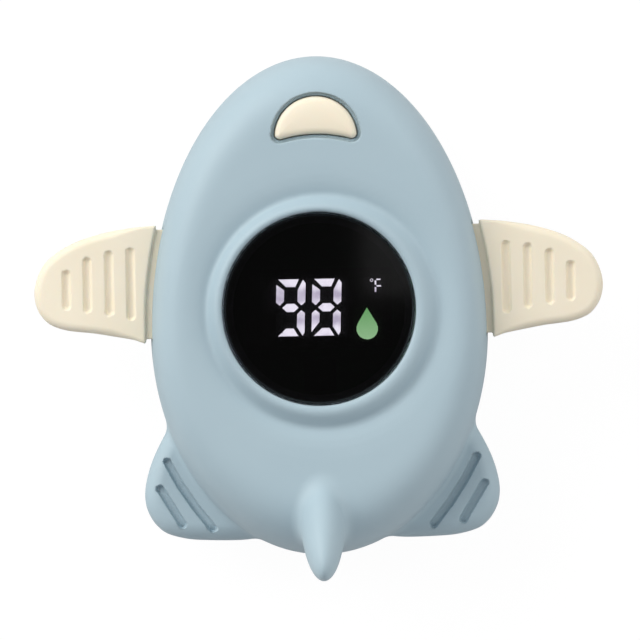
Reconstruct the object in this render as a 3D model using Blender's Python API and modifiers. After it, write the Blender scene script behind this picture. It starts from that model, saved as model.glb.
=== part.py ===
"""Toy rocket bath thermometer: an egg-shaped floating body with plug-in wings, tail fins,
a round lit display, a half-moon push button and a battery bay in its flat underside.
Metres, +Z up out of the display, +Y to the nose, origin under the middle of the display."""

import math

import bmesh
import bpy
from mathutils import Matrix, Vector

# Egg-shaped body
BODY_HALF_WIDTH = 0.032
NOSE_LENGTH = 0.052
TAIL_LENGTH = 0.0426
WIDEST_Y = -0.004
PARTING_Z = 0.0155
TOP_Z = 0.034
WALL = 0.002
TOP_SHOULDER_SIDE = 0.0075
TOP_SHOULDER_NOSE = 0.013
TOP_SHOULDER_TAIL = 0.0136
BASE_SHOULDER_SIDE = 0.009
BASE_SHOULDER_NOSE = 0.011
BASE_SHOULDER_TAIL = 0.010
SHOULDER_POWER = 3.0
FLAT_LATITUDE = math.radians(63.0)
HULL_SEGMENTS = 40
HULL_RINGS = 20
GAP = 0.0003
SKIN = 0.0008

# Window and the ring round it
LENS_RADIUS = 0.018
LENS_THICKNESS = 0.0025
LENS_CHAMFER = 0.0006
LENS_PROUD = 0.0008
LENS_GASKET = 0.0005
LEDGE_WIDTH = 0.002
LEDGE_THICKNESS = 0.0018
RING_WIDTH = 0.0031
RING_RISE = 0.0012
MOAT_WIDTH = 0.0028
MOAT_DEPTH = 0.0008
ROUND_STEPS = 48
SMALL_STEPS = 16

# Upright tail fin, a leaning ellipsoid whose lower half is inside the body
FIN_HALF_WIDTH = 0.00455
FIN_HALF_DEPTH = 0.007
FIN_HALF_LENGTH = 0.0206
FIN_LEAN = math.radians(37.0)
FIN_FROM_TAIL = 0.0088
FIN_Z = 0.0284

# Side tail fins
SIDE_FIN_HALF_THICKNESS = 0.005
SIDE_FIN_ROUNDING = 0.0034
SIDE_FIN_PAST_BODY = 0.0017
SIDE_FIN_FROM_TAIL = 0.0031
SIDE_FIN_LENGTH = 0.023
SIDE_FIN_CORNER = 0.0085
# Inward from the reach and forward of the end, as shares of the corner radius
SIDE_FIN_FLANK = (0.18, 1.78)
SIDE_GROOVES = (((0.52, 1.76), (1.51, 0.27)), ((0.34, 1.19), (0.86, 0.33)))
SIDE_GROOVE_WIDTH = 0.00115
GROOVE_DEPTH = 0.0008

# Wings
WING_Z = 0.0205
WING_SPAN = 0.022
WING_TIP_Y = 0.0035
WING_FRONT_Y = 0.0164
WING_REAR_Y = -0.0060
WING_ROOT_STANDOFF = 0.0010
WING_HALF_THICKNESS = 0.0043
WING_TIP_SHARE = 0.62
WING_ROUNDING = 0.0011
WING_GROOVE_WIDTH = 0.00135
WING_GROOVE_COUNT = 4
WING_GROOVE_FROM_BODY = 0.0035
WING_GROOVE_PITCH = 0.00405
WING_GROOVE_MARGIN = 0.0034
NECK_FRONT_Y = 0.0156
NECK_REAR_Y = -0.0051
NECK_HALF_THICKNESS = 0.0022
HEAD_LIP = 0.0010
HEAD_THICKNESS = 0.0022
HEAD_SEAT = 0.0008

# Half-moon button and its switch
BUTTON_FROM_NOSE = 0.0154
BUTTON_RADIUS = 0.0078
BUTTON_TIP_RADIUS = 0.00095
BUTTON_HOLLOW_RADIUS = 0.024
BUTTON_HOLLOW_AHEAD = 0.0007
BUTTON_CLEARANCE = 0.0007
BUTTON_PROUD = 0.0004
BUTTON_EDGE = 0.0007
BUTTON_TRAVEL = 0.0005
BUTTON_ROOF = 0.0034
FLANGE_OVERLAP = 0.0006
FLANGE_THICKNESS = 0.0012
WELL_WALL = 0.0024
STEM_RADIUS = 0.0016
SEAL_RADIUS = 0.0036
SEAL_HEIGHT = 0.0018
SEAL_RECESS = 0.0008
RETAINER_THICKNESS = 0.0013
RETAINER_SCREW_X = 0.0072
PLUNGER_RADIUS = 0.0014
PLUNGER_LENGTH = 0.0021
SWITCH_SIZE = 0.006
SWITCH_HEIGHT = 0.0025

# Circuit board and the lit display on it
BOARD_RADIUS = 0.0245
BOARD_THICKNESS = 0.0012
TONGUE_HALF_WIDTH = 0.008
BOARD_SCREW_CIRCLE = 0.022
BOARD_SCREW_COUNT = 3
CHIP_SIZE = 0.006
CHIP_HEIGHT = 0.0012
CHIP_Y = -0.0125
MODULE_HALF_WIDTH = 0.0138
MODULE_HALF_LENGTH = 0.0076
MODULE_WALL = 0.0008
LENS_STANDOFF = 0.0019
PLATE_THICKNESS = 0.0008
MASK_THICKNESS = 0.0009
MASK_BORDER = 0.0006
DIGIT_WIDTH = 0.00557
DIGIT_HEIGHT = 0.01076
DIGIT_LEAN = 0.041
DIGIT_PITCH = 0.0068
DIGIT_FIRST_X = -0.0054
DIGIT_Y = 0.0003
# Corners of the bars a to g, as shares of the digit's size from its lower left corner
SEGMENTS = (
    ((0.065, 1.0), (0.762, 1.0), (0.650, 0.865), (0.337, 0.865)),
    ((0.906, 0.989), (1.0, 0.926), (1.0, 0.595), (0.869, 0.541), (0.734, 0.612), (0.734, 0.807)),
    ((0.869, 0.454), (0.992, 0.405), (1.0, 0.068), (0.935, 0.007), (0.734, 0.162), (0.734, 0.385)),
    ((0.368, 0.135), (0.624, 0.135), (0.791, 0.0), (0.099, 0.0)),
    ((0.131, 0.454), (0.274, 0.396), (0.274, 0.243), (0.013, 0.068), (0.013, 0.401)),
    ((0.008, 0.905), (0.274, 0.808), (0.274, 0.612), (0.136, 0.541), (0.008, 0.595)),
    ((0.222, 0.5), (0.376, 0.570), (0.637, 0.570), (0.778, 0.5), (0.629, 0.426), (0.381, 0.426)),
)
DROP_X = 0.00905
DROP_TOP_Y = 0.0001
DROP_RADIUS = 0.00204
DROP_HEIGHT = 0.00605
UNIT_X = 0.0106
UNIT_Y = 0.0030
UNIT_WIDTH = 0.0012
UNIT_HEIGHT = 0.0025
# Left, low, right and high of the bars of the letter F, as shares of its size
UNIT_BARS = (
    (0.0, 0.0, 0.25, 0.37), (0.30, 0.40, 1.0, 0.51), (0.02, 0.55, 0.27, 0.87), (0.31, 0.90, 0.94, 1.0),
)
DEGREE_X = 0.01006
DEGREE_Y = 0.00524
DEGREE_RADIUS = 0.0003
DEGREE_STROKE = 0.0001

# Battery bay, cells and contacts
CELL_RADIUS = 0.00525
CELL_LENGTH = 0.0445
CELL_SPACING = 0.0111
CELL_EDGE = 0.0005
NUB_RADIUS = 0.0019
NUB_HEIGHT = 0.0010
CELL_CLEARANCE = 0.0005
SPRING_LENGTH = 0.0038
SPRING_BASE_RADIUS = 0.0036
SPRING_TOP_RADIUS = 0.0022
SPRING_WIRE_RADIUS = 0.00035
SPRING_TURNS = 3.5
SPRING_POINTS_PER_TURN = 10
CONTACT_THICKNESS = 0.0004
CONTACT_HALF_WIDTH = 0.0040
CONTACT_HEIGHT = 0.0085
TAB_HALF_WIDTH = 0.0015
TAB_RISE = 0.0026
BAY_WALL = 0.0014

# Battery door and its seal
DOOR_THICKNESS = 0.0017
DOOR_LIP = 0.0023
DOOR_CORNER = 0.003
DOOR_SEAL_WIDTH = 0.0010
DOOR_SEAL_HEIGHT = 0.0010
DOOR_SEAL_INSET = 0.0010
FRAME_WIDTH = 0.0043
FRAME_TOP_Z = 0.0044
DOOR_TAB_RADIUS = 0.0034
DOOR_NECK_HALF_WIDTH = 0.0026
DOOR_TAB_THICKNESS = 0.0034
DOOR_BOSS_RADIUS = 0.0046
DOOR_BOSS_TOP_Z = 0.0112

# Screws
SHANK_RADIUS = 0.0011
SCREW_HEAD_RADIUS = 0.0022
SCREW_HEAD_HEIGHT = 0.0013
RECESS_LENGTH = 0.0026
RECESS_WIDTH = 0.0006
RECESS_DEPTH = 0.0007
HOUSING_SCREW_LENGTH = 0.0195
DOOR_SCREW_LENGTH = 0.0065
BOARD_SCREW_LENGTH = 0.0065
RETAINER_SCREW_LENGTH = 0.0040
FRONT_SCREW_Y = 0.024
REAR_SCREW_Y = -0.028
POST_FROM_SEAL = 0.0012
SCREW_WELL_DEPTH = 0.0046
LOWER_POST_RADIUS = 0.0036
UPPER_POST_RADIUS = 0.0032
BOARD_POST_RADIUS = 0.0024

# Seal between the shells
SEAL_INSET = 0.0003
SEAL_THICKNESS = 0.0012
SEAL_BELOW = 0.0025
SEAL_ABOVE = 0.0015

# Water sensor in the underside
PROBE_FROM_NOSE = 0.0094
PROBE_FROM_DOOR = 0.0010
PROBE_FLANGE_RADIUS = 0.0031
PROBE_FLANGE_THICKNESS = 0.0007
PROBE_RADIUS = 0.0021
PROBE_WALL = 0.0005
PROBE_HEIGHT = 0.0052
PROBE_SINK = 0.00015
PROBE_COLLAR_WALL = 0.0018
PROBE_COLLAR_HEIGHT = 0.0038
BEAD_RADIUS = 0.0011
LEAD_RADIUS = 0.0005
LEAD_REACH = 0.0057

# Heights and places that follow from the sizes above
LENS_BOTTOM_Z = TOP_Z + LENS_PROUD - LENS_THICKNESS
LEDGE_Z = LENS_BOTTOM_Z - LENS_GASKET - 2 * GAP
BUTTON_CEILING_Z = TOP_Z - BUTTON_ROOF
FLANGE_BOTTOM_Z = BUTTON_CEILING_Z - GAP - FLANGE_THICKNESS
BUTTON_SEAL_Z = FLANGE_BOTTOM_Z - BUTTON_TRAVEL - GAP - SEAL_HEIGHT
RETAINER_TOP_Z = BUTTON_SEAL_Z - GAP + SEAL_RECESS
RETAINER_Z = RETAINER_TOP_Z - RETAINER_THICKNESS
WELL_BOTTOM_Z = RETAINER_TOP_Z + GAP
PLUNGER_TOP_Z = RETAINER_Z - 2 * GAP
PLUNGER_Z = PLUNGER_TOP_Z - PLUNGER_LENGTH
SWITCH_Z = PLUNGER_Z - BUTTON_TRAVEL - GAP - 0.25 * (SWITCH_HEIGHT - BUTTON_TRAVEL)
BOARD_TOP_Z = SWITCH_Z - GAP
BOARD_Z = BOARD_TOP_Z - BOARD_THICKNESS
MODULE_TOP_Z = LENS_BOTTOM_Z - LENS_STANDOFF
NOSE_Y = WIDEST_Y + NOSE_LENGTH
TAIL_Y = WIDEST_Y - TAIL_LENGTH
FIN_Y = TAIL_Y + FIN_FROM_TAIL
SIDE_FIN_REACH = BODY_HALF_WIDTH + SIDE_FIN_PAST_BODY
SIDE_FIN_END_Y = TAIL_Y + SIDE_FIN_FROM_TAIL
SIDE_FIN_NOTCH_Y = SIDE_FIN_END_Y + SIDE_FIN_LENGTH
WING_GROOVE_X = BODY_HALF_WIDTH + WING_GROOVE_FROM_BODY
BUTTON_Y = NOSE_Y - BUTTON_FROM_NOSE
BUTTON_HOLLOW_Y = BUTTON_Y + BUTTON_HOLLOW_AHEAD
SWITCH_Y = BUTTON_Y + 0.5 * BUTTON_RADIUS
CELL_Z = DOOR_THICKNESS + 2 * GAP + CELL_RADIUS
BAY_HALF_WIDTH = CELL_SPACING / 2 + CELL_RADIUS + CELL_CLEARANCE
BAY_HALF_LENGTH = (CELL_LENGTH + SPRING_LENGTH + 2 * CONTACT_THICKNESS + 5 * GAP) / 2
DOOR_REACH = BAY_HALF_LENGTH + DOOR_SEAL_INSET + DOOR_SEAL_WIDTH + 3 * GAP + DOOR_TAB_RADIUS
PROBE_Y = NOSE_Y - PROBE_FROM_NOSE
BAY_Y = PROBE_Y - PROBE_FLANGE_RADIUS - PROBE_FROM_DOOR - DOOR_TAB_RADIUS - DOOR_REACH
BAY_CEILING_Z = CELL_Z + CELL_RADIUS + CELL_CLEARANCE
BAY_TOP_Z = BAY_CEILING_Z + BAY_WALL
POST_INSET = WALL + SEAL_INSET + SEAL_THICKNESS + POST_FROM_SEAL + LOWER_POST_RADIUS

FINISHES = {
    "soft_touch_blue": ("#adc0ca", 0.62, 0.0),
    "cream_silicone": ("#f2e7cf", 0.58, 0.0),
    "smoked_window": ("#0a0a0c", 0.08, 0.0),
    "black_plastic": ("#151517", 0.5, 0.0),
    "lit_segments": ("#f4f2fa", 0.4, 0.0),
    "grey_silicone": ("#8d9296", 0.7, 0.0),
    "circuit_board": ("#1f6b3f", 0.45, 0.0),
    "steel": ("#c3c6c9", 0.28, 1.0),
    "cell_label": ("#2f3a48", 0.35, 0.0),
    "red_insulation": ("#b3312b", 0.45, 0.0),
    "black_insulation": ("#1c1c1e", 0.45, 0.0),
}

for existing in list(bpy.data.objects):
    bpy.data.objects.remove(existing, do_unlink=True)

PARTS = bpy.data.collections.new("bath_thermometer")
TOOLS = bpy.data.collections.new("cutters")
for group in (PARTS, TOOLS):
    bpy.context.scene.collection.children.link(group)


def linear(channel):
    """Linear value of one sRGB channel given from 0 to 1."""
    if channel <= 0.04045:
        return channel / 12.92
    return ((channel + 0.055) / 1.055) ** 2.4


def finish_material(name):
    """Principled material for one entry of FINISHES, made once."""
    if name in bpy.data.materials:
        return bpy.data.materials[name]
    code, roughness, metallic = FINISHES[name]
    colour = [linear(int(code[i:i + 2], 16) / 255) for i in (1, 3, 5)]
    material = bpy.data.materials.new(name)
    material.use_nodes = True
    shader = material.node_tree.nodes["Principled BSDF"]
    shader.inputs["Base Color"].default_value = (*colour, 1.0)
    shader.inputs["Roughness"].default_value = roughness
    shader.inputs["Metallic"].default_value = metallic
    material.diffuse_color = (*colour, 1.0)
    return material


def keep(part, name, finish):
    """Name a solid, give it its material and put it with the parts."""
    part.name = name
    part.data.name = name
    part.data.materials.clear()
    part.data.materials.append(finish_material(finish))
    if part.type == "MESH":
        part.data.shade_smooth()
        part.data.set_sharp_from_angle(angle=math.radians(32.0))
    PARTS.objects.link(part)
    return part


def combine(target, other, operation):
    """Boolean of target with a helper solid, which goes to the cutters."""
    if other.name not in TOOLS.objects:
        TOOLS.objects.link(other)
        other.hide_render = True
        other.display_type = "WIRE"
    step = target.modifiers.new(other.name, "BOOLEAN")
    step.operation = operation
    step.object = other
    step.solver = "EXACT"


def mesh_object(name, shape):
    """Object made from a bmesh with its faces pointing out."""
    bmesh.ops.recalc_face_normals(shape, faces=shape.faces)
    mesh = bpy.data.meshes.new(name)
    shape.to_mesh(mesh)
    shape.free()
    return bpy.data.objects.new(name, mesh)


def baked(source):
    """Plain mesh object holding what a curve or a modified object evaluates to."""
    holder = bpy.context.scene.collection
    linked = source.name in holder.objects
    if not linked:
        holder.objects.link(source)
    graph = bpy.context.evaluated_depsgraph_get()
    graph.update()
    mesh = bpy.data.meshes.new_from_object(source.evaluated_get(graph))
    mesh.transform(source.matrix_world)
    shape = bmesh.new()
    shape.from_mesh(mesh)
    bmesh.ops.remove_doubles(shape, verts=shape.verts, dist=0.000001)
    bmesh.ops.recalc_face_normals(shape, faces=shape.faces)
    shape.to_mesh(mesh)
    shape.free()
    name = source.name
    bpy.data.objects.remove(source, do_unlink=True)
    return bpy.data.objects.new(name, mesh)


def boxes(name, *spans):
    """Boxes in one mesh, each given as its low and high corner."""
    shape = bmesh.new()
    for low, high in spans:
        size = Vector(high) - Vector(low)
        middle = (Vector(high) + Vector(low)) / 2
        place = Matrix.Translation(middle) @ Matrix.Diagonal((*size, 1.0))
        bmesh.ops.create_cube(shape, size=1.0, matrix=place)
    return mesh_object(name, shape)


def cylinders(name, places, radius, low, high):
    """Upright cylinders of one size at each (x, y) place."""
    shape = bmesh.new()
    for x, y in places:
        bmesh.ops.create_cone(
            shape, cap_ends=True, segments=SMALL_STEPS, radius1=radius, radius2=radius,
            depth=high - low, matrix=Matrix.Translation((x, y, (low + high) / 2)))
    return mesh_object(name, shape)


def plate(name, loops, low, high):
    """Upright prism on flat outlines: loops inside the first one are holes."""
    curve = bpy.data.curves.new(name, "CURVE")
    curve.dimensions = "2D"
    curve.fill_mode = "BOTH"
    curve.extrude = (high - low) / 2
    for loop in loops:
        spline = curve.splines.new("POLY")
        spline.points.add(len(loop) - 1)
        for point, (x, y) in zip(spline.points, loop):
            point.co = (x, y, 0.0, 1.0)
        spline.use_cyclic_u = True
    source = bpy.data.objects.new(name, curve)
    source.location.z = (low + high) / 2
    result = baked(source)
    bpy.data.curves.remove(curve)
    return result


def round_edges(solid, width, segments):
    """Bevel the rim of a plate, whose flat faces are first joined to one face each."""
    shape = bmesh.new()
    shape.from_mesh(solid.data)
    bmesh.ops.dissolve_limit(
        shape, angle_limit=math.radians(1.0), verts=shape.verts, edges=shape.edges)
    shape.to_mesh(solid.data)
    shape.free()
    edge = solid.modifiers.new("edge", "BEVEL")
    edge.width = width
    edge.segments = segments
    edge.limit_method = "ANGLE"
    edge.angle_limit = math.radians(60.0)


def turned(name, profile, steps):
    """Solid turned about the Z axis from a profile of (radius, height) points.

    The profile runs down the outer side. It starts and ends on the axis, or closes on itself.
    """
    mesh = bpy.data.meshes.new(name)
    count = len(profile)
    open_ended = profile[0][0] == 0.0 and profile[-1][0] == 0.0
    edges = [(i, (i + 1) % count) for i in range(count - 1 if open_ended else count)]
    mesh.from_pydata([(radius, 0.0, height) for radius, height in profile], edges, [])
    source = bpy.data.objects.new(name, mesh)
    spin = source.modifiers.new("spin", "SCREW")
    spin.steps = steps
    spin.render_steps = steps
    spin.use_merge_vertices = True
    spin.merge_threshold = 0.00001
    return baked(source)


def wire(name, points, radius, finish):
    """Round wire with filled ends through the given points."""
    curve = bpy.data.curves.new(name, "CURVE")
    curve.dimensions = "3D"
    curve.bevel_depth = radius
    curve.bevel_resolution = 2
    curve.use_fill_caps = True
    spline = curve.splines.new("POLY")
    spline.points.add(len(points) - 1)
    for point, place in zip(spline.points, points):
        point.co = (*place, 1.0)
    return keep(bpy.data.objects.new(name, curve), name, finish)


def arc(centre, radius, start, end, steps):
    """Points of an arc from the start to the end angle, both included."""
    turn = (end - start) / steps
    return [
        (centre[0] + radius * math.cos(start + i * turn),
         centre[1] + radius * math.sin(start + i * turn))
        for i in range(steps + 1)
    ]


def rounded_rectangle(centre, half_width, half_length, corner):
    """Outline of a rectangle with round corners."""
    x = half_width - corner
    y = half_length - corner
    points = []
    for turn, (right, up) in enumerate(((1, 1), (-1, 1), (-1, -1), (1, -1))):
        start = turn * math.pi / 2
        middle = (centre[0] + right * x, centre[1] + up * y)
        points += arc(middle, corner, start, start + math.pi / 2, 4)
    return points


def slot_outline(start, end, width):
    """Outline of a slot with round ends round the line from start to end."""
    angle = math.atan2(end[1] - start[1], end[0] - start[0])
    right = angle - math.pi / 2
    return (arc(end, width / 2, right, right + math.pi, 5)
            + arc(start, width / 2, right + math.pi, right + 2 * math.pi, 5))


def ray_reach(angle, half_width, nose, tail):
    """Distance from the egg's middle to its outline in one direction."""
    length = nose if math.sin(angle) > 0.0 else tail
    return 1.0 / math.hypot(math.cos(angle) / half_width, math.sin(angle) / length)


def egg_outline(inset):
    """Plan outline of the body, moved inward by inset."""
    points = []
    for i in range(HULL_SEGMENTS):
        angle = 2 * math.pi * i / HULL_SEGMENTS
        reach = ray_reach(
            angle, BODY_HALF_WIDTH - inset, NOSE_LENGTH - inset, TAIL_LENGTH - inset)
        points.append((reach * math.cos(angle), WIDEST_Y + reach * math.sin(angle)))
    return points


def egg_side(y, inset):
    """Half width of the inset egg outline at one place along the body."""
    length = (NOSE_LENGTH if y > WIDEST_Y else TAIL_LENGTH) - inset
    return (BODY_HALF_WIDTH - inset) * math.sqrt(1.0 - ((y - WIDEST_Y) / length) ** 2)


def side_strip(side, rear, front, outer_inset, inner_inset):
    """Outline of a strip that follows one side of the egg between two insets."""
    steps = 6
    stations = [rear + (front - rear) * i / steps for i in range(steps + 1)]
    outer = [(side * egg_side(y, outer_inset), y) for y in stations]
    inner = [(side * egg_side(y, inner_inset), y) for y in reversed(stations)]
    return outer + inner


def hull(name, inset):
    """Body form moved inward by inset: a sphere whose rings become the egg outline, round
    shoulders and flat top and bottom."""
    shape = bmesh.new()
    bmesh.ops.create_uvsphere(
        shape, u_segments=HULL_SEGMENTS, v_segments=HULL_RINGS, radius=1.0)
    for vertex in shape.verts:
        angle = math.atan2(vertex.co.y, vertex.co.x)
        latitude = math.asin(max(-1.0, min(1.0, vertex.co.z)))
        vertex.co = hull_point(angle, latitude, inset)
    return mesh_object(name, shape)


def hull_point(angle, latitude, inset):
    """Place on the body's surface for one direction in plan and one latitude."""
    upper = latitude > 0.0
    side = TOP_SHOULDER_SIDE if upper else BASE_SHOULDER_SIDE
    nose = TOP_SHOULDER_NOSE if upper else BASE_SHOULDER_NOSE
    tail = TOP_SHOULDER_TAIL if upper else BASE_SHOULDER_TAIL
    rise = TOP_Z - PARTING_Z - inset if upper else inset - PARTING_Z
    rim = ray_reach(angle, BODY_HALF_WIDTH - inset, NOSE_LENGTH - inset, TAIL_LENGTH - inset)
    flat = ray_reach(
        angle, BODY_HALF_WIDTH - side - inset / 2, NOSE_LENGTH - nose - inset / 2,
        TAIL_LENGTH - tail - inset / 2)
    share = min(1.0, abs(latitude) / FLAT_LATITUDE) * math.pi / 2
    if abs(latitude) > FLAT_LATITUDE + 0.001:
        reach = flat * (math.pi / 2 - abs(latitude)) / (math.pi / 2 - FLAT_LATITUDE)
        height = rise
    else:
        out = max(0.0, math.cos(share)) ** (2 / SHOULDER_POWER)
        up = math.sin(share) ** (2 / SHOULDER_POWER)
        reach = flat + (rim - flat) * out
        height = rise * up
    return Vector((
        reach * math.cos(angle), WIDEST_Y + reach * math.sin(angle), PARTING_Z + height))


def side_fin_place(shares):
    """Plan place on the right side fin, given as shares of its corner radius."""
    inward, forward = shares
    return (SIDE_FIN_REACH - inward * SIDE_FIN_CORNER, SIDE_FIN_END_Y + forward * SIDE_FIN_CORNER)


def side_fin(side):
    """Blank of one side tail fin, with its round edge, reaching into the body."""
    corner = (SIDE_FIN_REACH - SIDE_FIN_CORNER, SIDE_FIN_END_Y + SIDE_FIN_CORNER)
    root = BODY_HALF_WIDTH / 2
    notch = (egg_side(SIDE_FIN_NOTCH_Y, WALL / 2), SIDE_FIN_NOTCH_Y)
    flank = side_fin_place(SIDE_FIN_FLANK)
    outline = [
        (root / 2, SIDE_FIN_END_Y + WALL / 2), (root, SIDE_FIN_END_Y),
        *arc(corner, SIDE_FIN_CORNER, -math.pi / 2, 0.0, 6),
        flank, notch, (root, SIDE_FIN_NOTCH_Y),
    ]
    fin = plate(
        f"side_fin_{'left' if side < 0 else 'right'}",
        [[(side * x, y) for x, y in outline]],
        PARTING_Z - SIDE_FIN_HALF_THICKNESS, PARTING_Z + SIDE_FIN_HALF_THICKNESS)
    round_edges(fin, SIDE_FIN_ROUNDING, 3)
    return fin


def side_grooves(side, low, high):
    """Cutters of the two grooves on one face of a side tail fin."""
    loops = []
    for groove in SIDE_GROOVES:
        ends = [(side * x, y) for x, y in map(side_fin_place, groove)]
        loops.append(slot_outline(*ends, SIDE_GROOVE_WIDTH))
    return plate("side_grooves", loops, low, high)


def upright_fin():
    """Leaning ellipsoid of the upright tail fin."""
    shape = bmesh.new()
    lean = Matrix.Rotation(FIN_LEAN, 4, "X")
    size = Matrix.Diagonal((FIN_HALF_WIDTH, FIN_HALF_DEPTH, FIN_HALF_LENGTH, 1.0))
    place = Matrix.Translation((0.0, FIN_Y, FIN_Z)) @ lean @ size
    bmesh.ops.create_uvsphere(
        shape, u_segments=20, v_segments=18, radius=1.0, matrix=place)
    return mesh_object("upright_fin", shape)


def add_fins(shell):
    """Side fins, shared by both shells, before the inside is hollowed out."""
    for side in (-1, 1):
        combine(shell, side_fin(side), "UNION")


def window_ring():
    """Raised ring round the window with the ledge that carries it, as one turned piece."""
    bore = LENS_RADIUS + GAP
    ledge = bore - LEDGE_WIDTH
    outer = bore + RING_WIDTH
    top = TOP_Z + RING_RISE
    foot = TOP_Z - MOAT_DEPTH
    profile = [
        (bore, TOP_Z + LENS_PROUD), (bore + 0.10 * RING_WIDTH, top - 0.1 * RING_RISE),
        (bore + 0.28 * RING_WIDTH, top), (bore + 0.5 * RING_WIDTH, top - 0.12 * RING_RISE),
        (bore + 0.72 * RING_WIDTH, top - 0.5 * RING_RISE),
        (bore + 0.88 * RING_WIDTH, TOP_Z - 0.2 * MOAT_DEPTH), (outer, foot - GAP),
        (outer, TOP_Z - WALL + GAP), (outer - 0.3 * RING_WIDTH, TOP_Z - WALL + GAP),
        (outer - 0.3 * RING_WIDTH, LEDGE_Z - LEDGE_THICKNESS),
        (ledge, LEDGE_Z - LEDGE_THICKNESS), (ledge, LEDGE_Z), (bore, LEDGE_Z),
    ]
    return turned("window_ring", profile, ROUND_STEPS)


def moat():
    """Cutter of the shallow dip round the ring."""
    inner = LENS_RADIUS + GAP + 0.7 * RING_WIDTH
    outer = LENS_RADIUS + GAP + RING_WIDTH + MOAT_WIDTH
    valley = TOP_Z - MOAT_DEPTH
    above = TOP_Z + MOAT_DEPTH
    profile = [
        (outer, above), (outer, TOP_Z + GAP / 10), (outer - 0.4 * MOAT_WIDTH, valley + MOAT_DEPTH / 3),
        (outer - 0.75 * MOAT_WIDTH, valley), (inner, valley), (inner, above),
    ]
    return turned("moat", profile, ROUND_STEPS)


def half_moon(offset):
    """Outline of the button moved outward by offset: a round front edge, round tips and a
    hollow rear edge."""
    front = (0.0, BUTTON_Y)
    rear = (0.0, BUTTON_HOLLOW_Y - BUTTON_HOLLOW_RADIUS)
    near = BUTTON_RADIUS - BUTTON_TIP_RADIUS
    far = BUTTON_HOLLOW_RADIUS + BUTTON_TIP_RADIUS
    span = front[1] - rear[1]
    tip_y = rear[1] + (far ** 2 - near ** 2 + span ** 2) / (2 * span)
    tip_x = math.sqrt(near ** 2 - (tip_y - front[1]) ** 2)
    rise = math.atan2(tip_y - front[1], tip_x)
    fall = math.atan2(tip_y - rear[1], tip_x)
    outline = arc(front, BUTTON_RADIUS + offset, rise, math.pi - rise, 18)
    outline += arc((-tip_x, tip_y), BUTTON_TIP_RADIUS + offset, math.pi - rise,
                   2 * math.pi - fall, 5)[1:]
    outline += arc(rear, BUTTON_HOLLOW_RADIUS - offset, math.pi - fall, fall, 6)[1:]
    outline += arc((tip_x, tip_y), BUTTON_TIP_RADIUS + offset, fall - math.pi, rise, 5)[1:-1]
    return outline


def inner_feature(feature, limit):
    """Trim an inside feature to the body, so that it stays under the outer surface."""
    combine(feature, limit, "INTERSECT")
    return feature


def screw_places():
    """Four housing screws, each as far out as its post may stand from the seal."""
    return [
        (side * egg_side(y, POST_INSET), y)
        for y in (FRONT_SCREW_Y, REAR_SCREW_Y) for side in (1, -1)
    ]


def board_places():
    """Places of the board screws, evenly round the display."""
    turn = 2 * math.pi / BOARD_SCREW_COUNT
    return [
        (BOARD_SCREW_CIRCLE * math.cos(math.pi / 2 + i * turn),
         BOARD_SCREW_CIRCLE * math.sin(math.pi / 2 + i * turn))
        for i in range(BOARD_SCREW_COUNT)
    ]


def retainer_places():
    """Places of the two screws that hold the button's retainer."""
    y = BUTTON_HOLLOW_Y - BUTTON_CLEARANCE - 0.65 * WELL_WALL
    return [(-RETAINER_SCREW_X, y), (RETAINER_SCREW_X, y)]


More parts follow.
